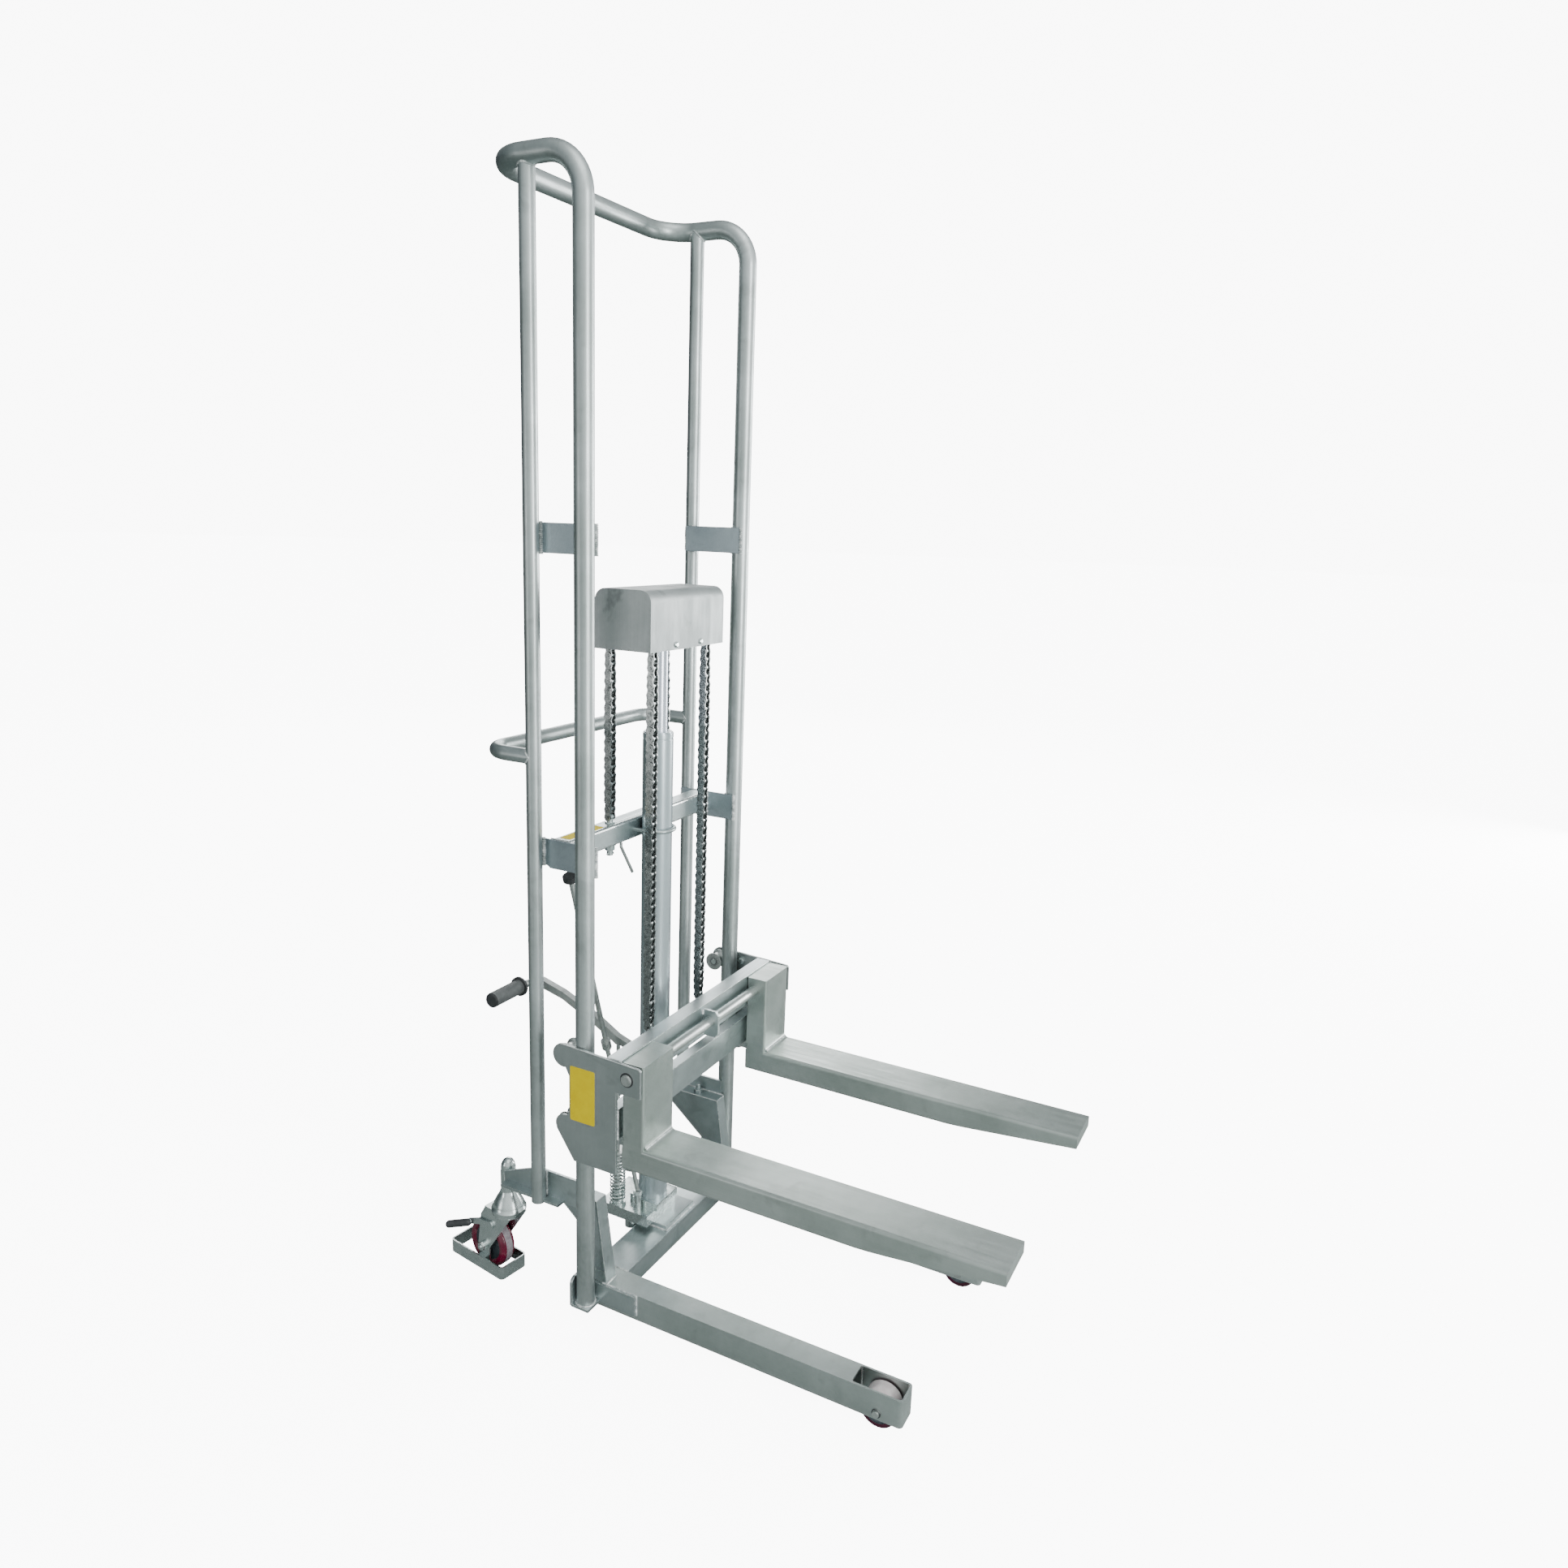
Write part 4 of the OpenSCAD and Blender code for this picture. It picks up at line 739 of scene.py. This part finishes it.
cover_screws = [turned(pan_head, at(x, y, 1255), (0, math.copysign(1, y), 0), 20)
                for x in (-42, 42) for y in (-41.4, 77.4)]
piece("cover_screws", cover_screws, zinc, "ram")
pins = both_sides(lambda side: run([at(side * chain_x - 10, 67.7, 860),
                                    at(side * chain_x + 10, 67.7, 860),
                                    at(side * chain_x + 12, 67.7, 856)], 1.1))
piece("cotter_pins", pins, zinc, "frame")
side_bolts = both_sides(lambda side: hex_head(13, 5, at(side * 276, -20, 541), (-side, 0, 0)))
piece("side_bolts", side_bolts, zinc, "carriage")
shaft_gap_shade = both_sides(lambda side: turned(gap_shade_ring, shaft_end(side), (side, 0, 0)))
piece("shaft_gap_shade", shaft_gap_shade, black_rubber, "carriage")
shaft_collars = both_sides(lambda side: turned(collar, shaft_end(side), (side, 0, 0)))
piece("shaft_collars", shaft_collars, shaft_steel, "carriage")
axle_button_shade = both_sides(lambda side: turned(axle_shade_ring, at(side * 234.85, -579, 32), (side, 0, 0)))
piece("axle_button_shade", axle_button_shade, dark_steel, "frame")
nut_out, tip_out = 0.0274, 0.0318
for side in ("left", "right"):
    centre, axle = joint_axis("caster_roll_" + side)
    nuts = []
    for way in (axle, -axle):
        nuts.append(hex_head(16, 4.5, centre + way * nut_out, way, 0.3))
        nuts.append(turned(bolt_tip, centre + way * tip_out, way, 20))
    piece("axle_nuts_" + side, nuts, zinc, bodies_of["caster_fork_" + side])

# Marker plates, plain yellow.
side_marker = plate(104, 53, 3, 0.4)
stand(side_marker, at(-281, -11.5, 472), (-1, 0, 0))
piece("side_marker", [side_marker], yellow_film, "carriage")
bar_marker = plate(102, 22, 2, 0.4)
stand(bar_marker, at(-171, 70, 918), (0, 0, 1))
piece("bar_marker", [bar_marker], yellow_film, "frame")


# Studio: floor, soft lights and a pale surround.

# Reflections are bright before the machine's front and dark behind it, so steel gets dark edges.
bright_side = Vector((-0.3, -0.93, 0))
white_paper = (0.93, 0.94, 0.94)
white_glow = 9.0
sky_share = 1.05


def seen_or_lit(tree, seen, lit):
    """Joins two values: one that the camera sees and one that lights and reflections meet."""
    path = tree.nodes.new("ShaderNodeLightPath").outputs["Is Camera Ray"]
    mix = tree.nodes.new("ShaderNodeMix")
    mix.data_type = "RGBA"
    tree.links.new(path, mix.inputs["Factor"])
    for socket, value in (("A", lit), ("B", seen)):
        if isinstance(value, tuple):
            mix.inputs[socket].default_value = (*value, 1)
        else:
            tree.links.new(value, mix.inputs[socket])
    return mix.outputs["Result"]


def brightness(tree, outlet, toward, darkest, brightest):
    """A colour ramp along a direction: it runs from one distance along it to another."""
    along = tree.nodes.new("ShaderNodeVectorMath")
    along.operation = "DOT_PRODUCT"
    along.inputs[1].default_value = toward
    ranged = tree.nodes.new("ShaderNodeMapRange")
    ranged.inputs["From Min"].default_value = darkest
    ranged.inputs["From Max"].default_value = brightest
    ramp = tree.nodes.new("ShaderNodeValToRGB")
    tree.links.new(outlet, along.inputs[0])
    tree.links.new(along.outputs["Value"], ranged.inputs["Value"])
    tree.links.new(ranged.outputs["Result"], ramp.inputs["Fac"])
    return ramp


floor = bmesh.new()
bmesh.ops.create_circle(floor, cap_ends=True, segments=96, radius=60)
ground = mesh_object("floor", floor, [])
paper = bpy.data.materials.new("studio_paper")
paper.use_nodes = True
sheet = paper.node_tree
paper_shader = sheet.nodes["Principled BSDF"]
paper_shader.inputs["Roughness"].default_value = 0.95
paper_shader.inputs["Specular IOR Level"].default_value = 0.0
spot = sheet.nodes.new("ShaderNodeTexCoord").outputs["Object"]
floor_tone = brightness(sheet, spot, bright_side, -1.6, 2.2)
floor_tone.color_ramp.elements[0].color = (0.09, 0.11, 0.105, 1)
floor_tone.color_ramp.elements[1].color = (0.62, 0.66, 0.65, 1)
sheet.links.new(seen_or_lit(sheet, white_paper, floor_tone.outputs["Color"]),
                paper_shader.inputs["Base Color"])
paper_shader.inputs["Emission Strength"].default_value = 1.0
sheet.links.new(seen_or_lit(sheet, (white_glow,) * 3, (0.0, 0.0, 0.0)),
                paper_shader.inputs["Emission Color"])
ground.data.materials.append(paper)


def soft_light(name, place, aim, size, watts):
    """A rectangular soft box."""
    lamp = bpy.data.lights.new(name, "AREA")
    lamp.shape = "RECTANGLE"
    lamp.size, lamp.size_y = size
    lamp.energy = watts
    holder = bpy.data.objects.new(name, lamp)
    holder.location = place
    holder.rotation_euler = (aim - place).to_track_quat("-Z", "Y").to_euler()
    holder.visible_camera = False
    bpy.context.scene.collection.objects.link(holder)


middle = Vector((0, 0, 0.9))
soft_light("key_light", Vector((-1.3, -5.2, 1.6)), middle, (1.0, 3.0), 160)
soft_light("side_light", Vector((5.0, -2.6, 1.5)), middle, (1.4, 2.8), 190)
soft_light("left_light", Vector((-4.7, 2.6, 0.6)), middle, (1.4, 2.6), 30)
soft_light("back_light", Vector((5.4, 3.6, 3.1)), middle, (4.0, 2.0), 150)
sun = bpy.data.lights.new("sky_light", "SUN")
sun.energy = 0.9
sun.angle = math.radians(50)
sun_holder = bpy.data.objects.new("sky_light", sun)
sun_holder.rotation_euler = Vector((0.25, 0.55, -1)).to_track_quat("-Z", "Y").to_euler()
bpy.context.scene.collection.objects.link(sun_holder)

world = bpy.data.worlds.new("surround")
world.use_nodes = True
bpy.context.scene.world = world
sky = world.node_tree
outwards = sky.nodes.new("ShaderNodeTexCoord").outputs["Generated"]
bright_height = Vector((0, 0, 0.5))
walls = brightness(sky, outwards, (bright_side + bright_height).normalized(), -1.0, 1.0)
walls.color_ramp.elements[0].position = 0.1
walls.color_ramp.elements[0].color = (0.035, 0.05, 0.055, 1)
walls.color_ramp.elements[1].position = 0.85
walls.color_ramp.elements[1].color = (0.95, 1.0, 1.0, 1)
half_way = walls.color_ramp.elements.new(0.46)
half_way.color = (0.30, 0.345, 0.355, 1)
sky.links.new(seen_or_lit(sky, (white_glow * sky_share,) * 3, walls.outputs["Color"]),
              sky.nodes["Background"].inputs["Color"])
sky.nodes["Background"].inputs["Strength"].default_value = 1.0

# Camera, fitted to the photograph. Its focal length and its middle are in pixels.
yaw, pitch, roll = 0.478582, -0.217574, 0.034164
forward = Vector((math.cos(yaw) * math.cos(pitch), math.sin(yaw) * math.cos(pitch),
                  math.sin(pitch)))
level = Vector((math.sin(yaw), -math.cos(yaw), 0))
upward = level.cross(forward)
right = math.cos(roll) * level + math.sin(roll) * upward
top = math.cos(roll) * upward - math.sin(roll) * level
image_side = 1932
focal = 1404.032
middle_u, middle_v = 950.074, 954.375
sensor = 36
lens = bpy.data.cameras.new("camera")
lens.sensor_width = sensor
lens.lens = focal / image_side * sensor
lens.shift_x = 0.5 - middle_u / image_side
lens.shift_y = middle_v / image_side - 0.5
camera = bpy.data.objects.new("camera", lens)
camera.matrix_world = Matrix((
    (right.x, top.x, -forward.x, 0),
    (right.y, top.y, -forward.y, 0),
    (right.z, top.z, -forward.z, 0),
    (0, 0, 0, 1)))
camera.location = at(-1773.184, -1140.008, 1474.116)
bpy.context.scene.collection.objects.link(camera)
bpy.context.scene.camera = camera
